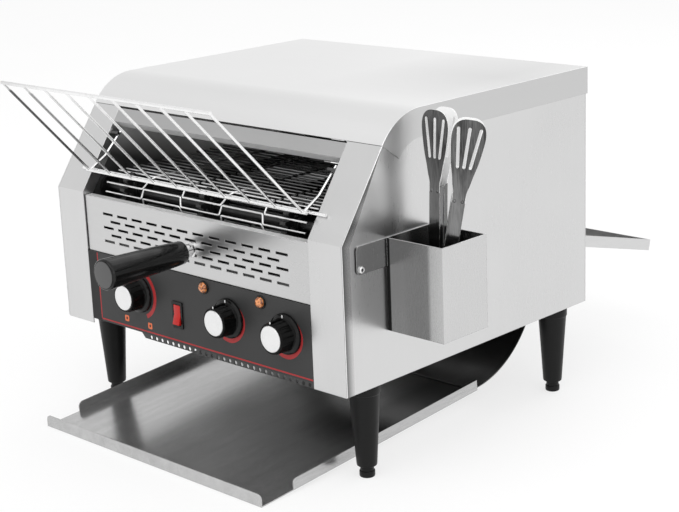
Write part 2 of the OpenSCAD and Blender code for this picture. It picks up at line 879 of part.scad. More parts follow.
module switch_frame() {
    face = -half_d - 1.6;
    color("black") at_origin() difference() {
        union() {
            deep(face, -half_d - fit)
                translate([rocker_x - switch_in_w() / 2 - 1.4, switch_z - switch_in_h() / 2 - 1.8])
                    rounded(switch_in_w() + 2.8, switch_in_h() + 3.6, 1.2);
            deep(face + 0.5, panel_in + 20)
                translate([rocker_x - switch_in_w() / 2, switch_z - switch_in_h() / 2])
                    square([switch_in_w(), switch_in_h()]);
            for (dz = [-7, 0, 7])
                block([rocker_x - 2.4, panel_in + 19, switch_z + dz - 0.4],
                      [rocker_x + 2.4, panel_in + 28, switch_z + dz + 0.4]);
        }
        deep(face - 5, -half_d + rocker_r + 1)
            translate([rocker_x - rocker_w / 2 - rest, switch_z - rocker_r - rest])
                square([rocker_w + 2 * rest, 2 * (rocker_r + rest)]);
        rod_x(rocker_x - rocker_w / 2 - 1.2, rocker_x + rocker_w / 2 + 1.2, pivot_y(), switch_z,
              1 + fit);
    }
}

function pivot_y() = -half_d + 1;

module switch_rocker() {
    color("red") at_origin() {
        intersection() {
            rod_x(rocker_x - rocker_w / 2, rocker_x + rocker_w / 2, pivot_y(), switch_z, rocker_r);
            across(rocker_x - rocker_w, rocker_x + rocker_w)
                translate([pivot_y(), switch_z]) rotate(-8) polygon([
                    [5, -2.5], [5, 2.5], [1, rocker_r + 2], [-4.5, rocker_r + 2], [-2.6, 0],
                    [-4.5, -rocker_r - 2], [1, -rocker_r - 2]
                ]);
        }
        rod_x(rocker_x - rocker_w / 2 - 1, rocker_x + rocker_w / 2 + 1, pivot_y(), switch_z, 1);
    }
}

module lamp_bodies() {
    color("dimgray") at_origin() for (x = lamp_xs) difference() {
        union() {
            rod_y(-half_d - 1.4, -half_d - fit, x, lamp_z, lamp_d / 2 + 1.6);
            rod_y(-half_d - 1, panel_in + lamp_body_l, x, lamp_z, lamp_d / 2 - 1);
        }
        rod_y(-through, -half_d + 4, x, lamp_z, lamp_d / 2 - 2);
    }
}

module lamp_lenses() {
    color("orange") at_origin() for (x = lamp_xs)
        translate([x, -half_d - 1.4 - fit, lamp_z]) rotate([90, 0, 0])
            rotate_extrude($fn = 48) polygon([
                [0, -4], [lamp_d / 2 - 2 - seat, -4], [lamp_d / 2 - 2 - seat, 0],
                [lamp_d / 2, 0], [lamp_d / 2, 1.6], [lamp_d / 2 - 2.2, 4], [0, 4.6]
            ]);
}

module drawer_runners() {
    color("silver") at_origin() for (side = [0, 1]) mirror([side, 0, 0]) {
        block([crumb_half - runner_w, -half_d + runner_front, crumb_z - seat - sheet],
              [inner_x - seat, runner_stop, crumb_z - seat]);
        block([inner_x - seat - sheet, -half_d + runner_front, crumb_z - seat - sheet],
              [inner_x - seat, runner_stop, crumb_z + runner_h]);
        block([crumb_half - runner_w, runner_stop - sheet, crumb_z - seat - sheet],
              [inner_x - seat, runner_stop, crumb_z + runner_h]);
    }
}

module rear_tray_runners() {
    top = rear_side_h + rest;
    color("silver") at_origin() for (side = [0, 1]) mirror([side, 0, 0])
        translate([0, rear_ref_y, rear_ref_z]) rotate([-rear_slope, 0, 0]) {
            block([tray_half - 4, -arm_l - 4, -rest - sheet], [inner_x - seat, -5, -rest]);
            block([tray_half - 4, -arm_l - 4, top], [inner_x - seat, -5, top + sheet]);
            block([inner_x - seat - sheet, -arm_l - 4, -rest - sheet],
                  [inner_x - seat, -5, top + sheet]);
        }
}

module belt_rails() {
    outer = (belt_spaces - 1) / 2;
    xs = [for (k = [-outer : outer]) if (k % 2 != 0) k * space_w];
    rod_z = rail_z0 + 1;
    color("silver") at_origin() {
        for (x = xs) block([x - rail_t / 2, rail_y0, rail_z0], [x + rail_t / 2, rail_y1, rail_z1]);
        for (y = [rail_y0 + 18, rail_y1 - 18])
            rod_x(-inner_x + seat, inner_x - seat, y, rod_z, rail_rod_d / 2);
    }
}

module shaft_bushes() {
    color("goldenrod") at_origin() for (y = [nose_y, tail_y], side = [0, 1])
        mirror([side, 0, 0]) difference() {
            union() {
                rod_x(inner_x - bush_in, inner_out + bush_out, y, belt_axis_h, bush_body_d / 2);
                rod_x(inner_x - bush_in, inner_x - seat, y, belt_axis_h, bush_flange_d / 2);
            }
            rod_x(0, through, y, belt_axis_h, shaft_d / 2 + fit);
        }
}

module tubes(count, z) {
    for (k = [0 : count - 1])
        rod_x(-inner_out - cap_t + 3, inner_out + cap_t - 3, tube_y(k, count), z, tube_d / 2);
}

module heating_tubes() {
    color("whitesmoke") at_origin() {
        tubes(upper_tubes, upper_z);
        tubes(lower_tubes, lower_z);
    }
}

module tube_caps(count, z) {
    for (k = [0 : count - 1], side = [0, 1]) mirror([side, 0, 0]) difference() {
        rod_x(inner_out + seat, inner_out + cap_t, tube_y(k, count), z, tube_d / 2 + 3);
        rod_x(0, inner_out + cap_t - 3 + seat, tube_y(k, count), z, tube_d / 2 + fit);
    }
}

module tube_end_caps() {
    color("ivory") at_origin() {
        tube_caps(upper_tubes, upper_z);
        tube_caps(lower_tubes, lower_z);
    }
}

module gear_motor() {
    box_x1 = chain_x + 6;
    box_y = gear_box_w / 2;
    box_z = gear_box_h / 2;
    motor_x = -inner_out - motor_d / 2 - 1;
    color("darkgray") at_origin() difference() {
        union() {
            block([box_x1, tail_y - box_y, motor_z - box_z],
                  [-inner_out - seat, tail_y + box_y, motor_z + box_z]);
            rod_y(tail_y - box_y - motor_l, tail_y - box_y, motor_x, motor_z, motor_d / 2);
            rod_x(chain_x - 4, box_x1, tail_y, motor_z, 9);
        }
        rod_x(chain_x - 5, -inner_out - 6, tail_y, motor_z, 4 + fit);
        block([chain_x - 5, tail_y - 12, motor_z - 12], [box_x1 - 1, tail_y + 12, motor_z + 12]);
    }
}

module chain_wheel_shape(bore_r) {
    root = chain_r - roller_d / 2 - 0.4;
    difference() {
        union() {
            circle(r = root, $fn = 64);
            for (k = [0 : chain_teeth - 1]) rotate(90 + (k + 0.5) * 360 / chain_teeth)
                polygon([
                    [root - 1, -1.5], [root + 1.6, -1.1], [chain_r + 1.6, -0.5],
                    [chain_r + 1.6, 0.5], [root + 1.6, 1.1], [root - 1, 1.5]
                ]);
        }
        circle(r = bore_r);
    }
}

module chain_wheel(z, bore_r) {
    translate([0, tail_y, z]) {
        across(chain_x - chain_wheel_t / 2, chain_x + chain_wheel_t / 2)
            rotate(90) chain_wheel_shape(bore_r);
        across(chain_x, chain_x + 5) difference() {
            circle(r = bore_r + 4);
            circle(r = bore_r);
        }
    }
}

module shaft_chain_wheel() {
    color("gray") at_origin() chain_wheel(belt_axis_h, shaft_d / 2 + fit);
}

module motor_chain_wheel() {
    color("gray") at_origin() {
        chain_wheel(motor_z, 3.9);
        rod_x(chain_x - 4, -inner_out - 8, tail_y, motor_z, 4);
    }
}

module chain_link(i) {
    at = loop_point(i, chain_run, chain_teeth, chain_pitch, chain_r);
    turn = loop_angle(i, chain_run, chain_teeth, chain_pitch, chain_r);
    near = i % 2 == 0 ? chain_wheel_t / 2 + 0.3 : chain_wheel_t / 2 + 1.4;
    translate(at) rotate(turn) {
        for (side = [0, 1]) mirror([0, 0, side]) translate([0, 0, near]) linear_extrude(1) {
            for (x = [0, chain_pitch]) translate([x, 0]) circle(r = 3.2, $fn = 24);
            translate([0, -2.4]) square([chain_pitch, 4.8]);
        }
        translate([0, 0, -near - 1.4]) cylinder(h = 2 * near + 2.8, r = 1.2, $fn = 16);
        translate([0, 0, -2]) cylinder(h = 4, r = roller_d / 2, $fn = 24);
    }
}

module drive_chain() {
    color("dimgray") at_origin() translate([chain_x, tail_y, motor_z])
        rotate([90, 0, 90]) rotate(90)
            for (i = [0 : 2 * chain_run + chain_teeth - 1]) chain_link(i);
}

module belt_strand() {
    path = strand_path();
    linear_extrude(wire, center = true)
        polygon(concat(beside(path, wire / 2), reversed(beside(path, -wire / 2))));
}

module conveyor_belt() {
    color("silver") at_origin() for (i = [0 : 2 * belt_run + belt_teeth - 1]) {
        at = loop_point(i, belt_run, belt_teeth, pitch, belt_r);
        turn = loop_angle(i, belt_run, belt_teeth, pitch, belt_r);
        translate([0, nose_y + at[0], belt_axis_h + at[1]]) rotate([turn, 0, 0]) belt_strand();
    }
}

module belt_sprocket(x, y) {
    root = belt_r - wire * 0.71 - 0.5;
    tip = belt_r + 2.6;
    translate([0, y, belt_axis_h]) {
        across(x - belt_sprocket_t / 2, x + belt_sprocket_t / 2) difference() {
            union() {
                circle(r = root, $fn = 72);
                for (k = [0 : belt_teeth - 1]) rotate(90 + (k + 0.5) * 360 / belt_teeth)
                    polygon([
                        [root - 2, -2.8], [root + 1, -2.7], [tip, -1.4], [tip, 1.4],
                        [root + 1, 2.7], [root - 2, 2.8]
                    ]);
            }
            circle(r = shaft_d / 2 + fit);
            for (k = [0 : 5]) rotate(k * 60) translate([root * 0.68, 0]) circle(r = 2.4);
        }
        across(x - belt_sprocket_t, x + belt_sprocket_t) difference() {
            circle(r = shaft_d / 2 + 3);
            circle(r = shaft_d / 2 + fit);
        }
    }
}

module sprocket_row(y) {
    steps = floor(belt_spaces / 4);
    for (k = [-steps : steps]) belt_sprocket(k * 2 * space_w, y);
}

module drive_sprockets() {
    color("gray") at_origin() sprocket_row(tail_y);
}

module idler_sprockets() {
    color("gray") at_origin() sprocket_row(nose_y);
}

module drive_shaft() {
    color("darkgray") at_origin()
        rod_x(chain_x - 6, inner_out + 8, tail_y, belt_axis_h, shaft_d / 2);
}

module idler_shaft() {
    color("darkgray") at_origin()
        rod_x(-inner_out - 8, inner_out + 8, nose_y, belt_axis_h, shaft_d / 2);
}

module vent_panel() {
    first_z = sill - 18;
    color("silver") at_origin() difference() {
        union() {
            block([-drawer_half, drawer_y, drawer_z0], [drawer_half, drawer_in, sill]);
            block([-drawer_half, drawer_y, sill - sheet], [drawer_half, drawer_y + drawer_lip, sill]);
        }
        for (row = [0 : vent_rows - 1], k = [0 : vent_count(row) - 1])
            deep(-through, 0)
                translate([(k - (vent_count(row) - 1) / 2) * vent_pitch - vent_l / 2,
                           first_z - row * vent_row - vent_w / 2])
                    square([vent_l, vent_w]);
        rod_y(-through, 0, 0, handle_z, stud_d / 2 - 1);
    }
}

function vent_count(row) = floor(2 * (drawer_half - 17) / vent_pitch) - row % 2;

module crumb_tray() {
    front = drawer_in + seat;
    rear = -half_d + tray_l;
    color("silver") at_origin() difference() {
        block([-crumb_half, front, crumb_z], [crumb_half, rear, crumb_z + crumb_wall_h]);
        block([-crumb_half + sheet, front + sheet, crumb_z + sheet],
              [crumb_half - sheet, rear - sheet, through]);
        block([-through, -through, crumb_z + 16], [through, front + sheet + 1, through]);
    }
}

module handle_ferrule() {
    color("silver") at_origin() {
        translate([0, drawer_y - fit, handle_z]) rotate([90, 0, 0]) rotate_extrude() polygon([
            [0, 0], [ferrule_d / 2 + 2, 0], [ferrule_d / 2 + 2, 1.2], [ferrule_d / 2, 2.4],
            [ferrule_d / 2, ferrule_l], [stud_d / 2, ferrule_l], [stud_d / 2, ferrule_l + 30],
            [0, ferrule_l + 30]
        ]);
        rod_y(drawer_y - 1, drawer_in + 3, 0, handle_z, stud_d / 2 - 1 - fit);
        rod_y(drawer_in + fit, drawer_in + 3, 0, handle_z, stud_d / 2 + 2);
    }
}

module handle_grip() {
    color("black") at_origin() translate([0, drawer_y - ferrule_l - seat, handle_z])
        rotate([90, 0, 0]) rotate_extrude($fn = 72) polygon([
            [stud_d / 2 + fit, 0], [grip_d1 / 2 - 1.5, 0], [grip_d1 / 2, 1.5],
            [grip_d2 / 2, grip_l - 6], [grip_d2 / 2, grip_l - 2.2], [grip_d2 / 2 - 1.2, grip_l - 1],
            [grip_d2 / 2 - 2, grip_l - 1], [grip_d2 / 2 - 2.6, grip_l], [0, grip_l], [0, 31],
            [stud_d / 2 + fit, 31]
        ]);
}

module feed_rack() {
    wire_r = rack_wire_d / 2;
    rod_r = rack_rod_d / 2;
    color("silver") at_origin() {
        for (k = [0 : rack_wires - 1]) {
            share = 2 * k / (rack_wires - 1) - 1;
            foot = [share * rack_half, foot_y, foot_z];
            rod([share * rack_top_half, rack_top_y, rack_top_z], foot, wire_r);
            rod(foot, [share * rack_half, rest_rod_y, rest_rod_z], wire_r);
        }
        rod_x(-rack_top_half - wire_r, rack_top_half + wire_r, rack_top_y, rack_top_z, rod_r);
        rod_x(-rack_half - 5, rack_half + 5, foot_y, foot_z, rod_r);
        rod_x(-rest_rod_half, rest_rod_half, rest_rod_y, rest_rod_z, rod_r);
        for (side = [-1, 1]) {
            foot = [side * rack_half, foot_y, foot_z];
            bend = [side * rack_half, hook_a[0], hook_a[1]];
            rod(foot, bend + (bend - foot) * 0.03, wire_r);
            rod(bend, [side * rack_half, hook_b[0], hook_b[1]], wire_r - 0.1);
        }
    }
}

module front_tray() {
    len = (front_end - front_y) / cos(front_angle);
    side_start = 46;
    foot_in = 62;
    color("silver") at_origin() {
        intersection() {
            translate([0, front_y, front_lift]) rotate([front_angle, 0, 0]) {
                block([-tray_half, 0, 0], [tray_half, len, sheet]);
                for (x = [-tray_half, tray_half - sheet])
                    across(x, x + sheet) {
                        translate([side_start + front_side_h / 2, 0])
                            square([len - side_start - front_side_h / 2, front_side_h]);
                        translate([side_start, 0]) square([front_side_h, front_side_h / 2]);
                        translate([side_start + front_side_h / 2, front_side_h / 2])
                            circle(r = front_side_h / 2);
                    }
            }
            block([-through, -through, 0], [through, front_end, through]);
        }
        difference() {
            deep(front_y - sheet + 0.4, front_y + 0.4)
                translate([-tray_half, front_lift]) rounded(2 * tray_half, 14, 6);
            block([-through, -through, front_lift + 7], [-tray_half - 1, 0, through]);
        }
        block([-tray_half, front_y - sheet + 0.4, front_lift],
              [tray_half, front_y + 0.4, front_lift + 7]);
        block([-tray_half + foot_in, front_end - sheet, front_lift],
              [tray_half - foot_in, front_end, front_lift + front_end * tan(front_angle)
                  - front_y * tan(front_angle) + 0.5]);
    }
}

module rear_tray() {
    inner = tray_half - sheet;
    color("silver") at_origin() translate([0, rear_ref_y, rear_ref_z])
        rotate([-rear_slope, 0, 0]) {
            block([-tray_half, 0, 0], [tray_half, rear_len, sheet]);
            for (x = [-tray_half, inner])
                across(x, x + sheet)
                    translate([-arm_l, 0]) square([arm_l + rear_len, rear_side_h]);
            block([-tray_half, rear_len - sheet, 0], [tray_half, rear_len, rear_side_h]);
        }
}

function rivet_ys() = [holder_y0 - ear_l + 7, holder_y1 + ear_l - 7];

function rivet_z() = holder_rim - ear_h + 5;

module tong_holder() {
    color("silver") at_origin() difference() {
        union() {
            block([holder_x0, holder_y0, holder_z0], [holder_x1, holder_y1, holder_rim]);
            across(holder_x0, holder_x0 + sheet)
                translate([holder_y0 - ear_l, holder_rim - ear_h])
                    rounded(holder_d + 2 * ear_l, ear_h, 5);
        }
        block([holder_x0 + sheet, holder_y0 + sheet, holder_z0 + sheet],
              [holder_x1 - sheet, holder_y1 - sheet, through + holder_rim]);
        for (y = rivet_ys()) rod_x(0, through, y, rivet_z(), rivet_d / 2);
        for (k = [-1, 1]) translate([(holder_x0 + holder_x1) / 2 + k * 16,
                                     (holder_y0 + holder_y1) / 2, 0])
            cylinder(h = through / 2, r = 4);
    }
}

// Rivets of the tong holder, screws of the back and the cable gland
module fasteners() {
    color("gainsboro") at_origin() {
        for (y = rivet_ys()) {
            rod_x(side_in - 2, holder_x0 + sheet + 1, y, rivet_z(), rivet_d / 2 - fit);
            rod_x(holder_x0 + sheet + fit, holder_x0 + sheet + 1.4, y, rivet_z(), rivet_d - 0.4);
            rod_x(side_in - 2, side_in - fit, y, rivet_z(), rivet_d / 2 + 0.6);
        }
        for (side = [-1, 1], z = screw_heights) {
            rod_y(rear_in - 8, rear_y + 1, side * screw_x, z, screw_d / 2 - fit);
            rod_y(rear_y + fit, rear_y + 2.4, side * screw_x, z, screw_d - 0.3);
        }
        difference() {
            union() {
                rod_y(rear_in - 9, rear_y + 1, cable_x, cable_z, cable_r - fit);
                rod_y(rear_y + fit, rear_y + 7, cable_x, cable_z, cable_r + 3);
                rod_y(rear_in - 5, rear_in - fit, cable_x, cable_z, cable_r + 3);
            }
            rod_y(-through, through, cable_x, cable_z, gland_bore_r);
        }
    }
}

module at_legs() {
    for (side = [-1, 1], y = leg_ys) translate([side * leg_x, y, 0]) children();
}

module legs() {
    color("black") at_origin() at_legs() difference() {
        union() {
            translate([0, 0, foot_h + rest])
                cylinder(h = leg_top - foot_h - rest - collar_h, r1 = leg_d2 / 2,
                         r2 = leg_d1 / 2 - 0.6);
            translate([0, 0, leg_top - collar_h]) cylinder(h = collar_h, r = leg_d1 / 2);
        }
        translate([0, 0, 0]) cylinder(h = foot_h + 42, r = foot_screw_d / 2 + fit);
    }
}

module levelling_foot(side, y) {
    color("black") at_origin() translate([side * leg_x, y, 0]) {
        cylinder(h = foot_h, r = foot_d / 2);
        translate([0, 0, foot_h - 1]) cylinder(h = 38, r = foot_screw_d / 2);
    }
}

module front_left_foot() {
    levelling_foot(-1, leg_ys[0]);
}

module front_right_foot() {
    levelling_foot(1, leg_ys[0]);
}

module rear_left_foot() {
    levelling_foot(-1, leg_ys[1]);
}

module rear_right_foot() {
    levelling_foot(1, leg_ys[1]);
}

// One arm of the tongs, standing on its pivot with its inner side towards +Y
module tong_arm(pin_r) {
    slot_w = 4;
    slot_l = 42;
    blade_foot = tong_l - blade_l;
    blade_z = tong_l - blade_w / 2;
    difference() {
        union() {
            deep(-tong_offset, -tong_offset + tong_t) {
                hull() {
                    translate([0, blade_z]) circle(d = blade_w);
                    translate([0, blade_foot + 8]) circle(d = 26);
                }
                hull() {
                    translate([0, blade_foot + 8]) circle(d = 26);
                    translate([-tong_handle_w / 2 + 0.5, handle_l - 8]) square([tong_handle_w - 1, 4]);
                }
                translate([-tong_handle_w / 2, 0]) square([tong_handle_w, handle_l]);
            }
            for (x = [-tong_handle_w / 2, tong_handle_w / 2 - tong_t])
                block([x, -tong_offset, 0], [x + tong_t, -tong_gap / 2, handle_l]);
            for (x = [-4, 4]) translate([x, -tong_offset + 0.5, handle_l - 7])
                sphere(r = 1.5, $fn = 24);
        }
        for (k = [-1, 0, 1])
            deep(-through, 0) translate([k * 3.2, blade_foot + 8]) rotate(-k * 6) {
                translate([k * 3 - slot_w / 2, 0]) square([slot_w, slot_l]);
                translate([k * 3, 0]) circle(d = slot_w, $fn = 24);
                translate([k * 3, slot_l]) circle(d = slot_w, $fn = 24);
            }
        rod_x(-through, through, -tong_offset + 3, tong_pin_h, pin_r);
    }
}

// The arm with the pivot pin and its lugs
module tong_base() {
    tong_arm(tong_pin_d / 2 - 0.4);
    rod_x(-tong_handle_w / 2 + 0.4, tong_handle_w / 2 - 0.4, 0, tong_pin_h, tong_pin_d / 2);
    for (x = [-tong_handle_w / 2 + 0.2, tong_handle_w / 2 - 1.2])
        block([x, -tong_offset + 0.5, tong_pin_h - 4], [x + 1, 2.5, tong_pin_h + 4]);
}

// The arm that swings on the pin
module tong_swing() {
    difference() {
        union() {
            difference() {
                mirror([0, 1, 0]) tong_arm(0.1);
                block([-tong_handle_w, -1, -1],
                      [tong_handle_w, tong_offset - tong_t - 0.5, tong_pin_h + 7]);
                block([-tong_handle_w, -1, -1], [tong_handle_w, tong_offset + 1, swing_foot]);
            }
            for (x = [-tong_handle_w / 2 + 2, tong_handle_w / 2 - 3.2])
                block([x, -2.6, tong_pin_h - 2.6], [x + 1.2, tong_offset - 0.5, tong_pin_h + 2.6]);
        }
        rod_x(-through, through, 0, tong_pin_h, tong_pin_d / 2 + fit);
    }
}

module left_tong_place() {
    translate(left_tong_at) rotate([0, left_lean, 0]) children();
}

module right_tong_place() {
    translate(right_tong_at) rotate([0, 0, right_turn]) rotate([0, right_lean, 0])
        rotate([0, 0, 180]) children();
}

module left_tongs() {
    color("silver") at_origin() left_tong_place() tong_base();
}

module left_tongs_arm() {
    color("silver") at_origin() left_tong_place() tong_swing();
}

module right_tongs() {
    color("silver") at_origin() right_tong_place() tong_base();
}

module right_tongs_arm() {
    color("silver") at_origin() right_tong_place() tong_swing();
}

left_side_panel();
right_side_panel();
top_cover();
back_panel();
base_plate();
left_inner_wall();
right_inner_wall();
front_beam();
top_reflector();
return_chute();
control_panel();
control_overlay();
control_box();
regulators();
drawer_runners();
rear_tray_runners();
belt_rails();
shaft_bushes();
heating_tubes();
tube_end_caps();
gear_motor();
drive_chain();
conveyor_belt();
drive_shaft();
drive_sprockets();
shaft_chain_wheel();
idler_shaft();
idler_sprockets();
motor_chain_wheel();
vent_panel();
crumb_tray();
handle_ferrule();
handle_grip();
left_knob();
left_knob_cap();
left_spindle();
middle_knob();
middle_knob_cap();
middle_spindle();
right_knob();
right_knob_cap();
right_spindle();
switch_frame();
switch_rocker();
lamp_bodies();
lamp_lenses();
feed_rack();
front_tray();
rear_tray();
tong_holder();
fasteners();
legs();
front_left_foot();
front_right_foot();
rear_left_foot();
rear_right_foot();
left_tongs();
left_tongs_arm();
right_tongs();
right_tongs_arm();
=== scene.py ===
"""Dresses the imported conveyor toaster: its wires, knobs, tongs, marks and finishes.

Every length in a dataclass is in millimetres, measured from the middle of the casing at
table height, with X to the right seen from the front, Y to the back and Z up. Place turns
such a point into the row's metres.
"""

import functools
import logging
import math
from collections.abc import Sequence
from dataclasses import dataclass, field
from enum import Enum

import bpy
from mathutils import Matrix, Vector


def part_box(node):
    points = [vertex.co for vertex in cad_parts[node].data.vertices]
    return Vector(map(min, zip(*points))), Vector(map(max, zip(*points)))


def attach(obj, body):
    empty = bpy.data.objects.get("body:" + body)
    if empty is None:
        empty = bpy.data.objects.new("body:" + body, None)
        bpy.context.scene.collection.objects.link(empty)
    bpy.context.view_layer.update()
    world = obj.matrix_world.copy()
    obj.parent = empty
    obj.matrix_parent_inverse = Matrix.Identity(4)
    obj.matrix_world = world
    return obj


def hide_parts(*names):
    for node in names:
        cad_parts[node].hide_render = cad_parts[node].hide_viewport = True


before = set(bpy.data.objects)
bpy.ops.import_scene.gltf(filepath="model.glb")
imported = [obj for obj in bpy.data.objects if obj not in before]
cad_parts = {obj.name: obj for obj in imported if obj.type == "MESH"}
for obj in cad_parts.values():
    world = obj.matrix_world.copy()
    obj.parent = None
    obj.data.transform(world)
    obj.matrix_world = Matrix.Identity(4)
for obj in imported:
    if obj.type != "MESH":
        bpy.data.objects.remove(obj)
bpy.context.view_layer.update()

log = logging.getLogger("toaster")

Point = tuple[float, float, float]
Flat = tuple[float, float]

MM = 0.001
FRONT_Y = -208.5  # front of the casing
KNEE_Z = 266.4  # height at which the front starts to slope
SLOPE = 54.8  # the slope's angle in degrees
COLUMN_IN = 184.5  # inner side of the front columns
KNOB_Z = 159.0
COVER_CORNER = (20.0, -70.0)  # from here the cover gets darker to its far right corner, as painted shade
PLATE_SHADOW_W = 3.2  # width of the painted shadow line beside the holder's plate
WALL_DEEP = (0.0, -110.0, 300.0)  # from here the inner walls get paler, as painted light
BELT_NOSE_Y = -168.0  # behind this the belt gets painted shade, for the dark chamber that it mirrors
RACK_DIM = (-88.0, -206.0, 404.0)  # left of, before and below this the rack gets darker, as painted shade
FORWARD = Vector((0.0, -1.0, 0.0))
EVEN = (1.0, 1.0, 1.0)  # stretch of a noise without streaks


class Axis(Enum):
    """The direction in which a sheet was brushed, as the stretch of its noise."""

    X = (0.05, 1.0, 1.0)
    Y = (1.0, 0.05, 1.0)
    Z = (1.0, 1.0, 0.05)


class Facing(Enum):
    """Where a surface looks, as an axis of its normal and the sign along it."""

    FRONT = ("Y", -1.0)
    ABOVE = ("Z", 1.0)
    BELOW = ("Z", -1.0)


class Side(Enum):
    """Left or right, seen from the front."""

    LEFT = -1
    RIGHT = 1


class Place:
    """Turns millimetres from the middle of the casing into the row's metres, and back."""

    def __init__(self) -> None:
        """Reads the casing's middle from the frame."""
        cover_low, cover_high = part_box("top_cover")
        side_low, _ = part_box("right_side_panel")
        self.x = (cover_low.x + cover_high.x) / 2
        self.y = (side_low.y + cover_high.y) / 2

    def at(self, x: float = 0.0, y: float = 0.0, z: float = 0.0) -> Vector:
        """Gives a point, in the row's metres."""
        return Vector((self.x + x * MM, self.y + y * MM, z * MM))

    def back(self, point: Vector) -> Vector:
        """Gives a point of the row, in millimetres from the casing's middle."""
        return Vector(((point.x - self.x) / MM, (point.y - self.y) / MM, point.z / MM))


place = Place()


class Value:
    """A shader socket whose arithmetic adds Math nodes."""

    def __init__(self, graph: "Graph", socket: bpy.types.NodeSocket) -> None:
        """Wraps a socket of a graph."""
        self.graph = graph
        self.socket = socket

    def _math(self, operation: str, a: "Value | float", b: "Value | float") -> "Value":
        """Adds one Math node that works on a and b."""
        return self.graph.add("ShaderNodeMath", {"operation": operation}, {0: a, 1: b})

    def __add__(self, other: "Value | float") -> "Value":
        """Adds."""
        return self._math("ADD", self, other)

    def __sub__(self, other: "Value | float") -> "Value":
        """Subtracts."""
        return self._math("SUBTRACT", self, other)

    def __rsub__(self, other: float) -> "Value":
        """Subtracts from a number."""
        return self._math("SUBTRACT", other, self)

    def __mul__(self, other: "Value | float") -> "Value":
        """Multiplies."""
        return self._math("MULTIPLY", self, other)

    __radd__ = __add__
    __rmul__ = __mul__

    def least(self, other: "Value | float") -> "Value":
        """Gives the smaller of two values."""
        return self._math("MINIMUM", self, other)

    def size(self) -> "Value":
        """Drops the sign."""
        return self._math("ABSOLUTE", self, 0.0)

    def rise(self, low: float = 0.0, high: float = 1.0) -> "Value":
        """Gives 0 up to low, 1 from high on and an even ramp between them."""
        return self.graph.ramp(self, (low, 0.0), (high, 1.0))


class Graph:
    """A node tree that grows as values are worked out."""

    def __init__(self, tree: bpy.types.NodeTree) -> None:
        """Empties the tree of a material or of the world."""
        self.tree = tree
        tree.nodes.clear()

    def add(
        self, kind: str, settings: dict | None = None, inputs: dict | None = None,
        out: int | str = 0,
    ) -> Value:
        """Adds a node, with its settings first and its sockets after them.

        Args:
            kind: The node's type.
            settings: The node's settings; "stops" holds a ramp's (position, grey) pairs.
            inputs: Numbers, colours or values for the node's input sockets.
            out: The output that is wanted.

        Returns:
            The wanted output.
        """
        node = self.tree.nodes.new(kind)
        for name, value in (settings or {}).items():
            if name != "stops":
                setattr(node, name, value)
                continue
            ramp = node.color_ramp
            for index, (position, level) in enumerate(value):
                stop = ramp.elements[index] if index < 2 else ramp.elements.new(position)
                stop.position = position
                stop.color = (level, level, level, 1.0)
        for key, value in (inputs or {}).items():
            if isinstance(value, Value):
                self.tree.links.new(value.socket, node.inputs[key])
            else:
                node.inputs[key].default_value = value
        return Value(self, node.outputs[out])

    def noise(self, scale: float, detail: float, stretch: Point = EVEN) -> Value:
        """Gives noise that runs in streaks or spots.

        Args:
            scale: Spots to a metre.
            detail: Number of finer layers.
            stretch: How fast the noise changes along X, Y and Z.

        Returns:
            The noise, from 0 to 1.
        """
        where = self.add("ShaderNodeTexCoord", out="Object")
        where = self.add("ShaderNodeMapping", None, {"Vector": where, "Scale": stretch})
        inputs = {"Vector": where, "Scale": scale, "Detail": detail}
        return self.add("ShaderNodeTexNoise", None, inputs)

    def part(self, kind: str, out: str, axis: str) -> Value:
        """Gives the X, Y or Z part of a vector that an input node puts out."""
        vector = self.add(kind, out=out)
        return self.add("ShaderNodeSeparateXYZ", None, {0: vector}, out=axis)

    def at(self, axis: str) -> Value:
        """Gives where the surface is along X, Y or Z, in the row's metres."""
        return self.part("ShaderNodeTexCoord", "Object", axis)

    def faces(self, facing: Facing, low: float, high: float) -> Value:
        """Gives how much the surface looks one way.

        Args:
            facing: The way.
            low: Part of the normal along it up to which the result is 0.
            high: Part from which the result is 1.

        Returns:
            The share, from 0 to 1.
        """
        axis, sign = facing.value
        along = self.part("ShaderNodeNewGeometry", "Normal", axis)
        return (along if sign > 0 else along * sign).rise(low, high)

    def after(self, axis: str, limit: float, slope: float, full: float = 1.0) -> Value:
        """Gives 0 up to a limit along an axis, and past it a rise at a slope to a metre."""
        return ((self.at(axis) - limit) * slope).rise(0.0, full)

    def before(self, axis: str, limit: float, slope: float, full: float = 1.0) -> Value:
        """Gives 0 from a limit along an axis on, and before it a rise towards lower places."""
        return ((limit - self.at(axis)) * slope).rise(0.0, full)

    def beyond(self, start: Vector, slope: float) -> Value:
        """Gives 1 well to the right of a point and behind it, at a slope to a metre."""
        return self.after("X", start.x, slope) * self.after("Y", start.y, slope)

    def ramp(self, value: Value, *stops: Flat) -> Value:
        """Sends a value through a grey ramp."""
        return self.add("ShaderNodeValToRGB", {"stops": stops}, {0: value})

    def blend(self, share: Value, a: "Value | Point", b: "Value | Point") -> Value:
        """Mixes two colours, of which share says how much there is of b."""
        a, b = (c if isinstance(c, Value) else (*c, 1.0) for c in (a, b))
        return self.add("ShaderNodeMix", {"data_type": "RGBA"}, {0: share, 6: a, 7: b}, 2)

    def seen(self) -> Value:
        """Gives 1 for rays that show the background: seen, mirrored or seen through glass."""
        camera, glossy, through = (
            self.add("ShaderNodeLightPath", out=f"Is {kind} Ray")
            for kind in ("Camera", "Glossy", "Transmission")
        )
        return camera + glossy + through


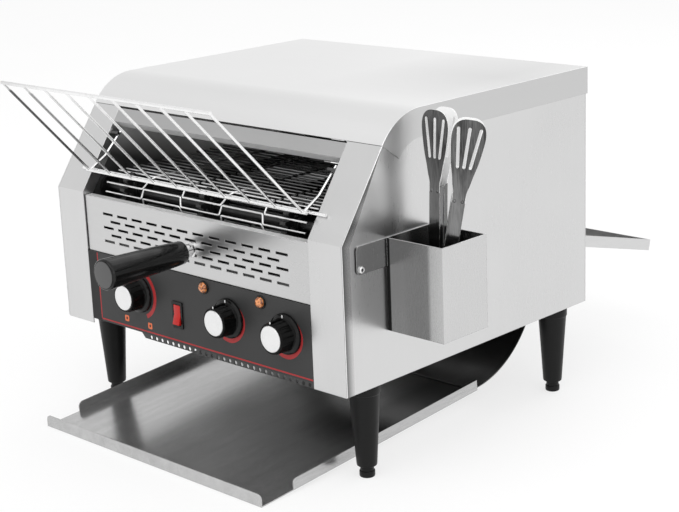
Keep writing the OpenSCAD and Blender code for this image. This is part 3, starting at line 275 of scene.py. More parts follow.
class Coating(Graph):
    """The node tree of one material, with its Principled shader."""

    def __init__(self, name: str) -> None:
        """Starts a material of that name with one shader."""
        self.material = bpy.data.materials.new(name)
        self.material.use_nodes = True
        super().__init__(self.material.node_tree)
        self.shader = self.tree.nodes.new("ShaderNodeBsdfPrincipled")
        self.output = self.tree.nodes.new("ShaderNodeOutputMaterial")
        self.tree.links.new(self.shader.outputs[0], self.output.inputs[0])

    def relief(self, height: Value, strength: float, depth: float, edge: float) -> Value:
        """Gives the normal of a surface with fine relief and softened edges.

        Args:
            height: The relief, from 0 to 1.
            strength: How strong the relief is.
            depth: Its depth in millimetres.
            edge: Radius of the softened edges in millimetres.

        Returns:
            The normal.
        """
        soft = self.add("ShaderNodeBevel", {"samples": 4}, {"Radius": edge * MM})
        inputs = {"Strength": strength, "Distance": depth * MM, "Height": height, "Normal": soft}
        return self.add("ShaderNodeBump", None, inputs)

    def dress(self, **sockets: Value | float) -> bpy.types.Material:
        """Sets the shader's sockets and gives the material.

        Args:
            sockets: Values by socket name, with _ for a space.

        Returns:
            The finished material.
        """
        for name, value in sockets.items():
            socket = self.shader.inputs[name.replace("_", " ")]
            if isinstance(value, Value):
                self.tree.links.new(value.socket, socket)
            else:
                socket.default_value = value
        return self.material


def grey(level: float) -> Point:
    """Gives a neutral colour."""
    return (level, level, level)


@dataclass(frozen=True)
class BrushedSteel:
    """Stainless sheet, brushed along one axis.

    Attributes:
        name: The material's name.
        level: How much light it throws back.
        grain: The direction of the brushing.
        roughness: Middle roughness.
        streaks: Strength of the brushed streaks.
        clouds: Strength of the broad, soft changes of tone.
        edge: Radius of its softened edges.
        front: Level of its faces to the front, as a share of the others; this darkening is
            painted shade.
        plate: Side up to which its front is darkened on the ear plate, as painted shade; 0 for no
            plate.
        glint: Side from which its front is paler, a painted reflection, after a narrow band of
            painted shade; 0 for nowhere.
        lip: How much paler and duller its faces to the top are; the paler tone is painted light.
        flank: How much darker its faces to the sides and its far right corner are, as painted
            shade.
        under: How pale and matt its faces to the ground are; the paler tone is painted light.
        metal: How metallic it is.
        fade: Depth over which the painted shade at the casing's front edge fades out behind it.
        inside: Side within which it is dark with painted shade, inside the chamber.
        shade_x: Side from which its faces to the top get painted shade, a dark reflection; 0 for
            nowhere.
        shade_y: How far back the painted shade starts.
        pale_below: Height below which it gets paler, a painted reflection; 0 for nowhere.
    """

    name: str
    level: float = 0.66
    grain: Axis = Axis.X
    roughness: float = 0.3
    streaks: float = 0.06
    clouds: float = 0.07
    edge: float = 0.7
    front: float = 1.0
    plate: float = 0.0
    glint: float = 0.0
    lip: float = 0.0
    flank: float = 0.0
    under: float = 0.0
    metal: float = 1.0
    fade: float = 0.0
    inside: float = 0.0
    shade_x: float = 0.0
    shade_y: float = 0.0
    pale_below: float = 0.0

    def make(self) -> bpy.types.Material:
        """Builds the finish.

        Returns:
            Its material.
        """
        g = Coating(self.name)
        fine = g.noise(1400.0, 2.0, self.grain.value)
        broad = g.noise(90.0, 3.0, self.grain.value)
        cloud = g.noise(7.0, 2.0)
        tone = (fine - 0.5) * self.streaks + (broad - 0.5) * self.streaks * 0.8
        tone = tone + (cloud - 0.5) * self.clouds * 2.0 + 0.5
        dull = (fine - 0.5) * 0.1 + (cloud - 0.5) * 0.08 + self.roughness
        shine = self.metal
        # Painted shade: faces to the front are darker than the rest.
        if self.front < 1.0:
            ahead = g.faces(Facing.FRONT, 0.3, 0.8)
            tone = tone - ahead * (1.0 - self.front) * 1.8
            # Painted reflection: a pale band at the front's right corner, after a band of painted
            # shade.
            if self.glint:
                past = g.at("X") - place.at(self.glint).x
                dip = (past * 30.0 + 1.0).rise() * -0.16
                tone = tone + ahead * (dip + (past * 180.0).rise() * 0.5)
        # Painted shade on the cover's side lips and towards its far right corner.
        if self.flank:
            aside = g.part("ShaderNodeNewGeometry", "Normal", "X").size()
            tone = tone - aside.rise(0.5, 0.9) * self.flank
            tone = tone - g.beyond(place.at(*COVER_CORNER), 6.0) * 0.5
        # Painted shade on the ear plate's front.
        if self.plate:
            tone = tone - g.before("X", place.at(self.plate).x, 2000.0, 0.6) * 0.25
        # Painted light on faces to the top, which also get rougher.
        if self.lip:
            above = g.faces(Facing.ABOVE, 0.5, 0.9)
            tone = tone + above * self.lip
            dull = dull + above * self.lip * 0.5
        # Painted light: faces to the ground get paler, and less metallic.
        if self.under:
            below = g.faces(Facing.BELOW, 0.3, 0.6)
            tone = tone + below * self.under
            shine = below * -self.under + self.metal
        spread = min(self.level * 0.55, 1.0 - self.level)
        colour = g.blend(tone, grey(self.level - spread), grey(self.level + spread))
        # A near-black line of painted shadow beside the plate, on faces to the front.
        if self.plate:
            seam = g.before("X", place.at(self.plate + PLATE_SHADOW_W).x, 1200.0)
            colour = g.blend(seam * ahead, colour, grey(0.015))
        # Painted shade: near-black at the casing's front edge, paler behind it.
        if self.fade:
            colour = g.blend(self._edge_share(g), grey(0.16), colour)
        # Painted shade on the parts within the columns' inner sides.
        if self.inside:
            deep = (self.inside * MM - (g.at("X") - place.x).size()) * 1500.0
            colour = g.blend(deep.rise() * 0.9, colour, grey(0.04))
        # Painted shade: faces to the top darken towards the right and the back, for the dark
        # underside that they mirror.
        if self.shade_x:
            painted_shade = g.beyond(place.at(self.shade_x, self.shade_y), 15.0)
            above = g.faces(Facing.ABOVE, 0.5, 0.8)
            colour = g.blend(painted_shade * above * 0.82, colour, grey(0.02))
        # Painted reflection: paler low down.
        if self.pale_below:
            drop = g.before("Z", place.at(z=self.pale_below).z, 28.0)
            colour = g.blend(drop * 0.11, colour, grey(0.75))
        return g.dress(
            Base_Color=colour,
            Metallic=shine,
            Roughness=dull,
            Normal=g.relief(fine, 0.06, 0.1, self.edge),
        )

    def _edge_share(self, g: Coating) -> Value:
        """Gives 0 at the casing's front edge and 1 from the fade's depth on.

        Args:
            g: The material's node tree.

        Returns:
            The share.
        """
        corner = place.at(0.0, FRONT_Y, KNEE_Z)
        back = g.at("Y") - corner.y
        rise = g.at("Z") - corner.z
        turn = math.radians(SLOPE)
        behind = back * math.sin(turn) - rise * math.cos(turn)
        return (back.least(behind) * (1.0 / (self.fade * MM))).rise(0.1, 1.0)


@dataclass(frozen=True)
class HeatedSteel:
    """Sheet near the heating tubes, brushed, toned brown and sooty in places.

    Attributes:
        name: The material's name.
        clean: Its colour where it is clean.
        toned: Its colour where it is toned.
        roughness: Least roughness.
        deep: How much paler and duller it is towards the back and the top, as painted light.
    """

    name: str
    clean: Point = (0.3, 0.295, 0.29)
    toned: Point = (0.1, 0.09, 0.08)
    roughness: float = 0.38
    deep: float = 0.0

    def make(self) -> bpy.types.Material:
        """Builds the finish.

        Returns:
            Its material.
        """
        g = Coating(self.name)
        patch = g.noise(14.0, 5.0).rise(0.42, 0.74)
        fine = g.noise(900.0, 2.0, Axis.Z.value)
        colour = g.blend(patch * 0.6 + fine * 0.25, self.clean, self.toned)
        shine = 0.95
        # Painted light: paler towards the back and the top, dark at the front and the bottom.
        if self.deep:
            start = place.at(*WALL_DEEP)
            back, up = g.at("Y") - start.y, g.at("Z") - start.z
            pale = (back * 8.0 + up * 24.0 + 0.35).rise() * self.deep
            colour = g.blend(pale, colour, grey(0.78))
            shine = 0.95 - pale
        return g.dress(
            Base_Color=colour,
            Metallic=shine,
            Roughness=patch * 0.18 + fine * 0.08 + self.roughness,
            Normal=g.relief(fine, 0.15, 0.1, 0.6),
        )


@dataclass(frozen=True)
class BrightWire:
    """Drawn wire or turned steel: bright, with fine lines and dull spots.

    Attributes:
        name: The material's name.
        level: How much light it throws back.
        roughness: Least roughness.
        spots: Strength of the dull spots.
        toned: How much darker it gets behind the belt's front end, as painted shade.
        dim: How much darker it gets underneath and at the rack's upper left, as painted shade.
    """

    name: str
    level: float = 0.82
    roughness: float = 0.16
    spots: float = 0.3
    toned: float = 0.0
    dim: float = 0.0

    def make(self) -> bpy.types.Material:
        """Builds the finish.

        Returns:
            Its material.
        """
        g = Coating(self.name)
        dull = g.noise(130.0, 4.0).rise(0.45, 0.75)
        lines = g.noise(2600.0, 1.0)
        colour = g.blend(dull * self.spots, grey(self.level), grey(self.level * 0.55))
        # Painted shade: the belt darkens behind its front end.
        if self.toned:
            back = g.after("Y", place.at(y=BELT_NOSE_Y).y, 16.0, 0.6)
            colour = g.blend(back * self.toned, colour, grey(self.level * 0.1))
        # Painted shade on the wires' undersides and the rack's upper left.
        if self.dim:
            start = place.at(*RACK_DIM)
            aside = g.before("X", start.x, 12.0) * g.before("Y", start.y, 100.0)
            below = g.faces(Facing.BELOW, 0.4, 0.8)
            share = (aside + below * 0.35).least(1.0) * self.dim
            low = g.ramp((start.z - g.at("Z")) * 400.0, (0.0, 0.2), (1.0, 1.0))
            colour = g.blend(share * low, colour, grey(0.02))
        return g.dress(
            Base_Color=colour,
            Metallic=1.0,
            Roughness=dull * 0.2 + self.roughness,
            Normal=g.relief(lines, 0.08, 0.05, 0.3),
        )


@dataclass(frozen=True)
class Moulded:
    """Moulded or painted material with a fine grain and slightly worn high spots.

    Attributes:
        name: The material's name.
        colour: Its colour.
        worn: The colour where it is rubbed.
        roughness: Middle roughness.
        grain: Strength of the moulded grain.
        coat: Weight of the clear gloss over it.
        shine: How strongly it mirrors, 0.5 for plain plastic.
    """

    name: str
    colour: Point
    worn: Point
    roughness: float = 0.4
    grain: float = 0.12
    coat: float = 0.0
    shine: float = 0.5

    def make(self) -> bpy.types.Material:
        """Builds the finish.

        Returns:
            Its material.
        """
        g = Coating(self.name)
        pits = g.noise(1700.0, 2.0)
        rubbed = g.noise(38.0, 5.0).rise(0.5, 0.8)
        return g.dress(
            Base_Color=g.blend(rubbed * 0.45 + pits * 0.1, self.colour, self.worn),
            Roughness=pits * 0.1 + rubbed * 0.12 + self.roughness - 0.05,
            Coat_Weight=rubbed * -0.3 + self.coat,
            Coat_Roughness=0.08,
            Specular_IOR_Level=self.shine,
            Normal=g.relief(pits, self.grain, 0.12, 0.5),
        )


@dataclass(frozen=True)
class SpunDisc:
    """Pale metal disc with fine lathe lines."""

    name: str
    level: float

    def make(self) -> bpy.types.Material:
        """Builds the finish.

        Returns:
            Its material.
        """
        g = Coating(self.name)
        lines = g.noise(700.0, 6.0)
        cloud = g.noise(60.0, 2.0)
        share = lines * 0.5 + cloud * 0.4
        return g.dress(
            Base_Color=g.blend(share, grey(self.level), grey(self.level * 0.78)),
            Metallic=0.8,
            Roughness=lines * 0.12 + 0.3,
            Normal=g.relief(lines, 0.2, 0.05, 0.3),
        )


@dataclass(frozen=True)
class Translucent:
    """Coloured lens or quartz, with faint moulded ribs inside it."""

    name: str
    colour: Point
    deep: Point
    alpha: float = 1.0
    roughness: float = 0.12

    def make(self) -> bpy.types.Material:
        """Builds the finish.

        Returns:
            Its material.
        """
        g = Coating(self.name)
        ribs = g.noise(420.0, 1.0)
        return g.dress(
            Base_Color=g.blend(ribs.rise(0.38, 0.62), self.colour, self.deep),
            Roughness=ribs * 0.1 + self.roughness,
            Coat_Weight=0.6,
            Alpha=self.alpha,
            Normal=g.relief(ribs, 0.1, 0.1, 0.3),
        )


class Finish(Enum):
    """Every finish of the toaster. Its material is made when it is first asked for."""

    # The casing's sheets are one stainless steel; the level set for each panel is painted light
    # and shade.
    VENT = BrushedSteel("steel_brushed_across", 0.61, lip=0.5)
    REAR_TRAY = BrushedSteel("steel_brushed_back", grain=Axis.Y)
    BACK = BrushedSteel("steel_brushed_up", 0.68, Axis.Z, streaks=0.04, clouds=0.06)
    SIDE = BrushedSteel(
        "steel_brushed_side", 0.67, Axis.Z, streaks=0.03, clouds=0.06, inside=COLUMN_IN
    )
    # The folded strips are a darker copy of the side steel, as painted shade.
    FOLD = BrushedSteel("steel_fold", 0.62, Axis.Z, 0.24, fade=12.0)
    BEAM = BrushedSteel("steel_beam", 0.46, roughness=0.36, under=0.9)
    COVER = BrushedSteel("steel_cover", 0.8, Axis.X, 0.36, 0.04, 0.04, flank=0.5)
    TRAY = BrushedSteel(
        "steel_tray", 0.52, Axis.Y, 0.2, 0.36, 0.12, metal=0.82, shade_x=58.0, shade_y=-150.0
    )
    HOLDER = BrushedSteel(
        "steel_holder", 0.6, Axis.Z, 0.26, 0.03, edge=1.0, front=0.74, plate=233.0,
        glint=285.0, lip=0.45,
    )
    INNER = HeatedSteel("steel_heated")
    # The inner walls' dark grey is partly heat tone and partly painted shade.
    WALL = HeatedSteel("steel_heated_wall", grey(0.16), grey(0.08), deep=0.94)
    # Parts deep inside get near-black steel: painted shade over the heat tone.
    DARK_INNER = HeatedSteel("steel_heat_toned_shaded", grey(0.1), grey(0.03), 0.4)
    CHUTE = HeatedSteel("steel_chute", grey(0.13), grey(0.05), 0.26)
    COIL = HeatedSteel("heating_coil", roughness=0.5)
    BELT = BrightWire("wire_belt", 0.95, 0.3, toned=0.86)
    RACK = BrightWire("wire_rack", 0.93, spots=0.15, dim=0.85)
    FERRULE = BrightWire("steel_ferrule", 0.78)
    # BEND is paler than the casing's steel; on the rounded front edges it is a painted highlight.
    BEND = BrightWire("steel_bend", 0.95, 0.3, 0.1)
    TURNED = BrightWire("steel_turned", 0.06, 0.36)
    CHAIN = BrightWire("steel_oiled", 0.2, 0.35)
    # The tongs' steel in three copies: dark outer faces as painted reflection, pale inner faces
    # as painted light, bright rims as painted highlight.
    TONG_FACE = BrushedSteel(
        "tong_shaded_face", 0.11, Axis.Z, 0.16, 2.6, 0.25, pale_below=338.0
    )
    TONG_PALE = BrushedSteel("tong_pale", 0.93, Axis.Z, 0.4, clouds=0.05, metal=0.25)
    TONG_EDGE = BrightWire("tong_edge", 0.9, 0.2)
    BRASS = Moulded("brass_turned", (0.62, 0.45, 0.2), (0.4, 0.28, 0.12), 0.3, 0.15)
    BLACK = Moulded("plastic_black_gloss", grey(0.004), grey(0.008), 0.14, 0.03, 0.1, 0.22)
    KNOB = Moulded("plastic_knob", grey(0.002), grey(0.004), 0.12, 0.02, 0.05, 0.1)
    GRIP = Moulded("plastic_grip", grey(0.004), grey(0.008), 0.13, 0.03, 0.12, 0.28)
    GRIP_END = Moulded("plastic_grip_end", grey(0.07), grey(0.1), 0.4, 0.1, 0.1)
    LEG = Moulded("plastic_leg", grey(0.005), grey(0.008), 0.4, 0.15, shine=0.22)
    OVERLAY = Moulded("overlay_dark", grey(0.034), grey(0.04), 0.42, shine=0.3)
    OVERLAY_BLACK = Moulded("overlay_black", grey(0.008), grey(0.011), 0.42, shine=0.3)
    RED_INK = Moulded("ink_red", (0.4, 0.028, 0.03), (0.32, 0.022, 0.024), 0.45, 0.1, shine=0.3)
    ORANGE_INK = Moulded("ink_orange", (0.75, 0.16, 0.05), (0.62, 0.12, 0.04), 0.45, 0.1)
    WHITE_INK = Moulded("ink_white", grey(0.8), grey(0.65), 0.45, 0.1)
    ROCKER = Moulded(
        "plastic_red", (0.5, 0.012, 0.01), (0.58, 0.03, 0.02), 0.14, 0.05, 0.15, 0.25
    )
    DARK_PAINT = Moulded("paint_dark", grey(0.03), grey(0.06), 0.4, 0.2)
    CERAMIC = Moulded("ceramic_white", (0.72, 0.7, 0.64), (0.55, 0.52, 0.46), 0.5, 0.3)
    CAP = SpunDisc("knob_disc", 0.92)
    LENS = Translucent("lens_orange", (0.8, 0.3, 0.1), (0.16, 0.04, 0.012))
    QUARTZ = Translucent("quartz_tube", grey(0.85), grey(0.7), 0.3, 0.05)

    @functools.cache
    def material(self) -> bpy.types.Material:
        """Gives the finish's material."""
        return self.value.make()


def link(name: str, data: bpy.types.ID) -> bpy.types.Object:
    """Puts a new object into the scene.

    Args:
        name: Its name.
        data: Its mesh, curve, lamp or camera.

    Returns:
        The object.
    """
    made = bpy.data.objects.new(name, data)
    bpy.context.scene.collection.objects.link(made)
    return made


def ring(centre: Vector, side: Vector, other: Vector, radius: float, steps: int) -> list[Vector]:
    """Gives the points of a circle that starts at side and turns towards other.

    Args:
        centre: The circle's middle.
        side: Direction of its first point.
        other: Direction of the point a quarter turn on.
        radius: Its radius in millimetres.
        steps: Number of points.

    Returns:
        The points.
    """
    angles = [2 * math.pi * k / steps for k in range(steps)]
    return [centre + (side * math.cos(a) + other * math.sin(a)) * radius * MM for a in angles]


@dataclass
class Shape:
    """Points and faces of a piece, in the row's metres.

    Attributes:
        points: The corners.
        faces: Corner numbers of each face.
        kinds: Material number of each face.
    """

    points: list[Vector] = field(default_factory=list)
    faces: list[tuple[int, ...]] = field(default_factory=list)
    kinds: list[int] = field(default_factory=list)

    def _skin(self, rings: list[list[Vector]], kind: int = 0) -> None:
        """Adds the skin over a row of rings, capped at both ends.

        Args:
            rings: The rings, each with the same number of points.
            kind: Which of the piece's materials it gets.
        """
        steps = len(rings[0])
        last = (len(rings) - 1) * steps
        faces: list[tuple[int, ...]] = []
        for a in range(0, last, steps):
            for k in range(steps):
                n = (k + 1) % steps
                faces.append((a + k, a + n, a + steps + n, a + steps + k))
        faces.append(tuple(range(steps - 1, -1, -1)))
        faces.append(tuple(range(last, last + steps)))
        start = len(self.points)
        self.points += [point for points in rings for point in points]
        self.faces += [tuple(start + i for i in face) for face in faces]
        self.kinds += [kind] * len(faces)

    def turn(
        self, profile: Sequence[Flat], base: Vector, axis: Vector, steps: int = 64,
        kind: int = 0,
    ) -> None:
        """Adds a body of revolution.

        Args:
            profile: Radius and height along the axis, in millimetres, from end to end.
            base: The point where height is 0.
            axis: Direction of the axis.
            steps: Number of steps round the axis.
            kind: Which of the piece's materials it gets.
        """
        axis = axis.normalized()
        side = axis.orthogonal().normalized()
        other = axis.cross(side)
        rings = [
            ring(base + axis * height * MM, side, other, max(radius, 0.001), steps)
            for radius, height in profile
        ]
        self._skin(rings, kind)

    def sweep(self, path: list[Vector], radius: float, sides: int = 12) -> None:
        """Adds a round wire along a path.

        Args:
            path: Points of the path.
            radius: Radius of the wire in millimetres.
            sides: Number of sides of the wire.
        """
        tangents = [
            (after - before).normalized()
            for before, after in zip([path[0], *path], [*path[1:], path[-1]])
        ]
        side = tangents[0].orthogonal().normalized()
        rings: list[list[Vector]] = []
        for centre, tangent in zip(path, tangents):
            side = (side - tangent * side.dot(tangent)).normalized()
            rings.append(ring(centre, side, tangent.cross(side), radius, sides))
        self._skin(rings)

    def plate(self, loops: list[list[Flat]], depth: float, bevel: float, pose: Matrix) -> None:
        """Adds a flat plate with holes and softened edges.

        Args:
            loops: The outline and its holes, in millimetres.
            depth: Thickness in millimetres.
            bevel: Size of the softened edge in millimetres.
            pose: Turns the outline's X, Y and thickness into the row's metres.
        """
        curve = bpy.data.curves.new("outline", "CURVE")
        curve.dimensions = "2D"
        curve.fill_mode = "BOTH"
        curve.extrude = depth / 2 - bevel
        curve.bevel_depth = bevel
        curve.bevel_resolution = 1
        curve.offset = -bevel
        for loop in loops:
            spline = curve.splines.new("POLY")
            spline.points.add(len(loop) - 1)
            for point, (x, y) in zip(spline.points, loop):
                point.co = (x, y, 0.0, 1.0)
            spline.use_cyclic_u = True
        holder = link("outline", curve)
        bpy.context.view_layer.update()
        graph = bpy.context.evaluated_depsgraph_get()
        mesh = bpy.data.meshes.new_from_object(holder.evaluated_get(graph))
        start = len(self.points)
        for face in mesh.polygons:
            tilt = face.normal.z
            self.kinds.append(0 if abs(tilt) <= 0.9 else 1 if tilt > 0 else 2)
            self.faces.append(tuple(start + i for i in face.vertices))
        self.points += [pose @ v.co for v in mesh.vertices]
        bpy.data.objects.remove(holder)
        bpy.data.curves.remove(curve)
        bpy.data.meshes.remove(mesh)

    def piece(
        self, name: str, slot: str, *looks: Finish, body: str = "casing", replaced: str = "",
        smooth: float = 40.0,
    ) -> None:
        """Makes a piece of the toaster from the shape and reports it.

        Args:
            name: The piece's name.
            slot: A material slot name; not used.
            looks: Its finishes, by face kind.
            body: The body that it rides on.
            replaced: The node that it stands for, if any.
            smooth: Largest angle in degrees between faces that are shaded as one surface.
        """
        mesh = bpy.data.meshes.new(name)
        mesh.from_pydata([tuple(point) for point in self.points], [], self.faces)
        for look in looks:
            mesh.materials.append(look.material())
        for face, kind in zip(mesh.polygons, self.kinds):
            face.use_smooth = True
            face.material_index = min(kind, len(looks) - 1)
        mesh.set_sharp_from_angle(angle=math.radians(smooth))
        piece = link(name, mesh)
        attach(piece, body)
        if replaced:
            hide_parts(replaced)
        log.info("%s: %d faces on %s", name, len(self.faces), body)


def rounded_path(points: list[Vector], radius: float, steps: int) -> list[Vector]:
    """Rounds the corners of a path.

    Args:
        points: Corners of the path.
        radius: Radius of the bends in millimetres.
        steps: Number of steps in each bend.

    Returns:
        The path with its bends.
    """
    path = [points[0]]
    for before, corner, after in zip(points, points[1:], points[2:]):
        a, b = (before - corner).normalized(), (after - corner).normalized()
        half = max(math.acos(max(-1.0, min(1.0, a.dot(b)))) / 2, 0.05)
        room = min((before - corner).length, (after - corner).length) * 0.45
        reach = min(radius * MM / math.tan(half), room)
        start, end = corner + a * reach, corner + b * reach
        for k in range(steps + 1):
            t = k / steps
            path.append(start * (1 - t) ** 2 + corner * 2 * t * (1 - t) + end * t * t)
    return path + [points[-1]]


def spot(centre: Flat, radius: float, angle: float) -> Flat:
    """Gives a point of a circle, at an angle clockwise from the top, in degrees."""
    a = math.radians(angle)
    return centre[0] + radius * math.sin(a), centre[1] + radius * math.cos(a)


def arc(centre: Flat, radius: float, start: float, end: float, steps: int) -> list[Flat]:
    """Gives points of an arc, with its angles clockwise from the top, in degrees."""
    return [spot(centre, radius, start + (end - start) * k / steps) for k in range(steps + 1)]


def rounded_box(x: float, y: float, w: float, h: float, r: float) -> list[Flat]:
    """Gives the outline of a rounded rectangle.

    Args:
        x: Its middle from left to right.
        y: Its middle from bottom to top.
        w: Its width.
        h: Its height.
        r: Radius of its corners.

    Returns:
        The outline, clockwise from the top of its upper right corner.
    """
    points: list[Flat] = []
    for right, up, end in ((1, 1, 90), (1, -1, 180), (-1, -1, 270), (-1, 1, 360)):
        middle = (x + right * (w / 2 - r), y + up * (h / 2 - r))
        points += arc(middle, r, end - 90, end, 6)
    return points


def front_pose(y: float, x: float = 0.0, z: float = 0.0) -> Matrix:
    """Stands an outline up as seen from the front.

    Args:
        y: Where its middle plane is.
        x: How far it moves to the right.
        z: How far it moves up.

    Returns:
        The matrix from millimetres to the row's metres.
    """
    at = place.at(y=y)
    stand = Matrix(((MM, 0, 0, at.x), (0, 0, -MM, at.y), (0, MM, 0, at.z), (0, 0, 0, 1)))
    return stand @ Matrix.Translation((x, z, 0.0))


def side_pose(x: float) -> Matrix:
    """Stands an outline up as seen from the side, in a plane at x."""
    at = place.at(x)
    return Matrix(((0, 0, MM, at.x), (MM, 0, 0, at.y), (0, MM, 0, at.z), (0, 0, 0, 1)))


@dataclass
class Casing:
    """The sheet-metal casing, whose solids keep their shapes and get their finishes.

    Attributes:
        fold_in: Width of the folded strip inside each side panel's front edge.
        fold_t: Its thickness.
        fold_back: How far it stands behind the front.
        fold_ends: Its edges at the top of the slope, behind the slope's end.
        panel_x: Inner side of the folded strip.
        base_z: The panels' lower edge.
        slope_end_z: Top of the folded strip.
        seam_r: Radius of the dark seam at the knee.
        seam_gap: How far the seam ends inside the casing's side.
        rivet_at: The holder's rivets.
        half_width: Half the casing's width.
        top_z: The casing's top.
        hood_r: Radius of the rolled hood.
        hood_steps: Steps in the hood's curve.
        bend_r: Radius of the rounded front edges.
        bend_back: How far the rounded edges stand behind the front.
        bend_down: How far they stand below the top.
    """

    fold_in: float = 12.0
    fold_t: float = 0.5
    fold_back: float = 0.6
    fold_ends: Flat = (0.8, 2.4)
    panel_x: float = 231.1
    base_z: float = 106.0
    slope_end_z: float = 352.0
    seam_r: float = 0.35
    seam_gap: float = 0.4
    rivet_at: tuple[Point, ...] = ((233.9, -181.5, 236.8), (233.9, -32.5, 236.8))
    half_width: float = 232.5
    top_z: float = 388.0
    hood_r: float = 72.0
    hood_steps: int = 24
    bend_r: float = 0.45
    bend_back: float = 0.2
    bend_down: float = 0.3

    def dress(self) -> None:
        """Gives the nodes that stay as they are their finishes."""
        chosen = {
            Finish.COVER: "top_cover",
            Finish.SIDE: "left_side_panel right_side_panel",
            Finish.BACK: "back_panel",
            Finish.REAR_TRAY: "rear_tray",
            Finish.VENT: "vent_panel",
            Finish.BEAM: "front_beam",
            Finish.BEND: "fasteners",
            Finish.TRAY: "front_tray",
            Finish.HOLDER: "tong_holder",
            Finish.CHUTE: "return_chute base_plate",
            Finish.DARK_INNER: "crumb_tray belt_rails drawer_runners control_box",
            Finish.INNER: "top_reflector rear_tray_runners",
            Finish.WALL: "left_inner_wall right_inner_wall",
            Finish.DARK_PAINT: "control_panel gear_motor",
            Finish.OVERLAY: "control_overlay",
            Finish.CERAMIC: "regulators tube_end_caps",
            Finish.BRASS: "left_spindle middle_spindle right_spindle",
            Finish.TURNED: "shaft_bushes drive_shaft idler_shaft drive_sprockets idler_sprockets",
            Finish.CHAIN: "drive_chain shaft_chain_wheel motor_chain_wheel",
            Finish.FERRULE: "handle_ferrule",
            Finish.BLACK: "switch_frame",
            Finish.QUARTZ: "heating_tubes",
        }
        for finish, nodes in chosen.items():
            for node in nodes.split():
                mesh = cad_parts[node].data
                mesh.materials.clear()
                mesh.materials.append(finish.material())
                log.info("%s gets %s", node, finish.name)

    def build(self) -> None:
        """Dresses the nodes, and builds the folds, bends and seams of the columns."""
        self.dress()
        slope = math.radians(SLOPE)
        end_y = FRONT_Y + (self.slope_end_z - KNEE_Z) / math.tan(slope)
        lean = self.fold_in * math.tan(math.radians(90 - SLOPE) / 2)
        near, far = FRONT_Y + self.fold_back, FRONT_Y + self.fold_in
        foot_z, top_z, (first, last) = self.base_z + 0.3, self.slope_end_z, self.fold_ends
        outline = [
            (near, foot_z), (far, foot_z), (far, KNEE_Z - lean),
            (end_y + last, top_z), (end_y + first, top_z), (near, KNEE_Z),
        ]
        edge = self._front_edge()
        seam_y, seam_z = edge[2]
        for side in Side:
            name = side.name.lower()
            fold, bend, seam = Shape(), Shape(), Shape()
            pose = side_pose(side.value * (self.panel_x + self.fold_t / 2))
            fold.plate([outline], self.fold_t, 0.2, pose)
            fold.piece(f"column_fold_{name}", "casing_steel", Finish.FOLD)
            # The rounded front edges are real; their paler steel is a painted highlight.
            bend_x = side.value * (self.half_width - self.bend_r)
            path = [place.at(bend_x, y + self.bend_back, z) for y, z in edge]
            bend.sweep(path, self.bend_r, 8)
            bend.piece(f"bend_{name}", "casing_steel", Finish.BEND)
            inner, outer = (
                place.at(side.value * x, seam_y, seam_z)
                for x in (COLUMN_IN, self.half_width - self.seam_gap)
            )
            seam.sweep([inner, inner.lerp(outer, 0.5), outer], self.seam_r, 8)
            seam.piece(f"seam_{name}", "casing_steel", Finish.TURNED)
        rings = Shape()
        collar = [(1.5, 0.0), (1.6, 0.5), (2.2, 0.8), (2.9, 0.7), (3.5, 0.3), (3.6, 0.0)]
        core = [(0.1, 0.05), (1.4, 0.05), (1.4, 0.2), (0.1, 0.2)]
        out = Vector((1.0, 0.0, 0.0))
        for at in self.rivet_at:
            rings.turn(collar, place.at(*at), out, 32)
            # A dark disc fills each rivet's hole, as painted shade.
            rings.turn(core, place.at(*at) + out * 0.6 * MM, out, 32, 1)
        rings.piece("rivet_rings", "machined_steel", Finish.BEND, Finish.TURNED)

    def _front_edge(self) -> list[Flat]:
        """Works out the casing's front edge, from the base over the slope and the hood.

        Returns:
            The edge as Y and Z.
        """
        slope = math.radians(SLOPE)
        centre_z = self.top_z - self.hood_r
        start_z = centre_z + self.hood_r * math.cos(slope)
        start_y = FRONT_Y + (start_z - KNEE_Z) / math.tan(slope)
        centre_y = start_y + self.hood_r * math.sin(slope)
        edge = [(FRONT_Y, self.base_z + 1.0), (FRONT_Y, KNEE_Z)]
        for k in range(self.hood_steps + 1):
            a = slope * (1 - k / self.hood_steps)
            edge.append((centre_y - self.hood_r * math.sin(a),
                         centre_z + self.hood_r * math.cos(a) - self.bend_down))
        return edge + [(-FRONT_Y - 1.0, self.top_z - self.bend_down)]


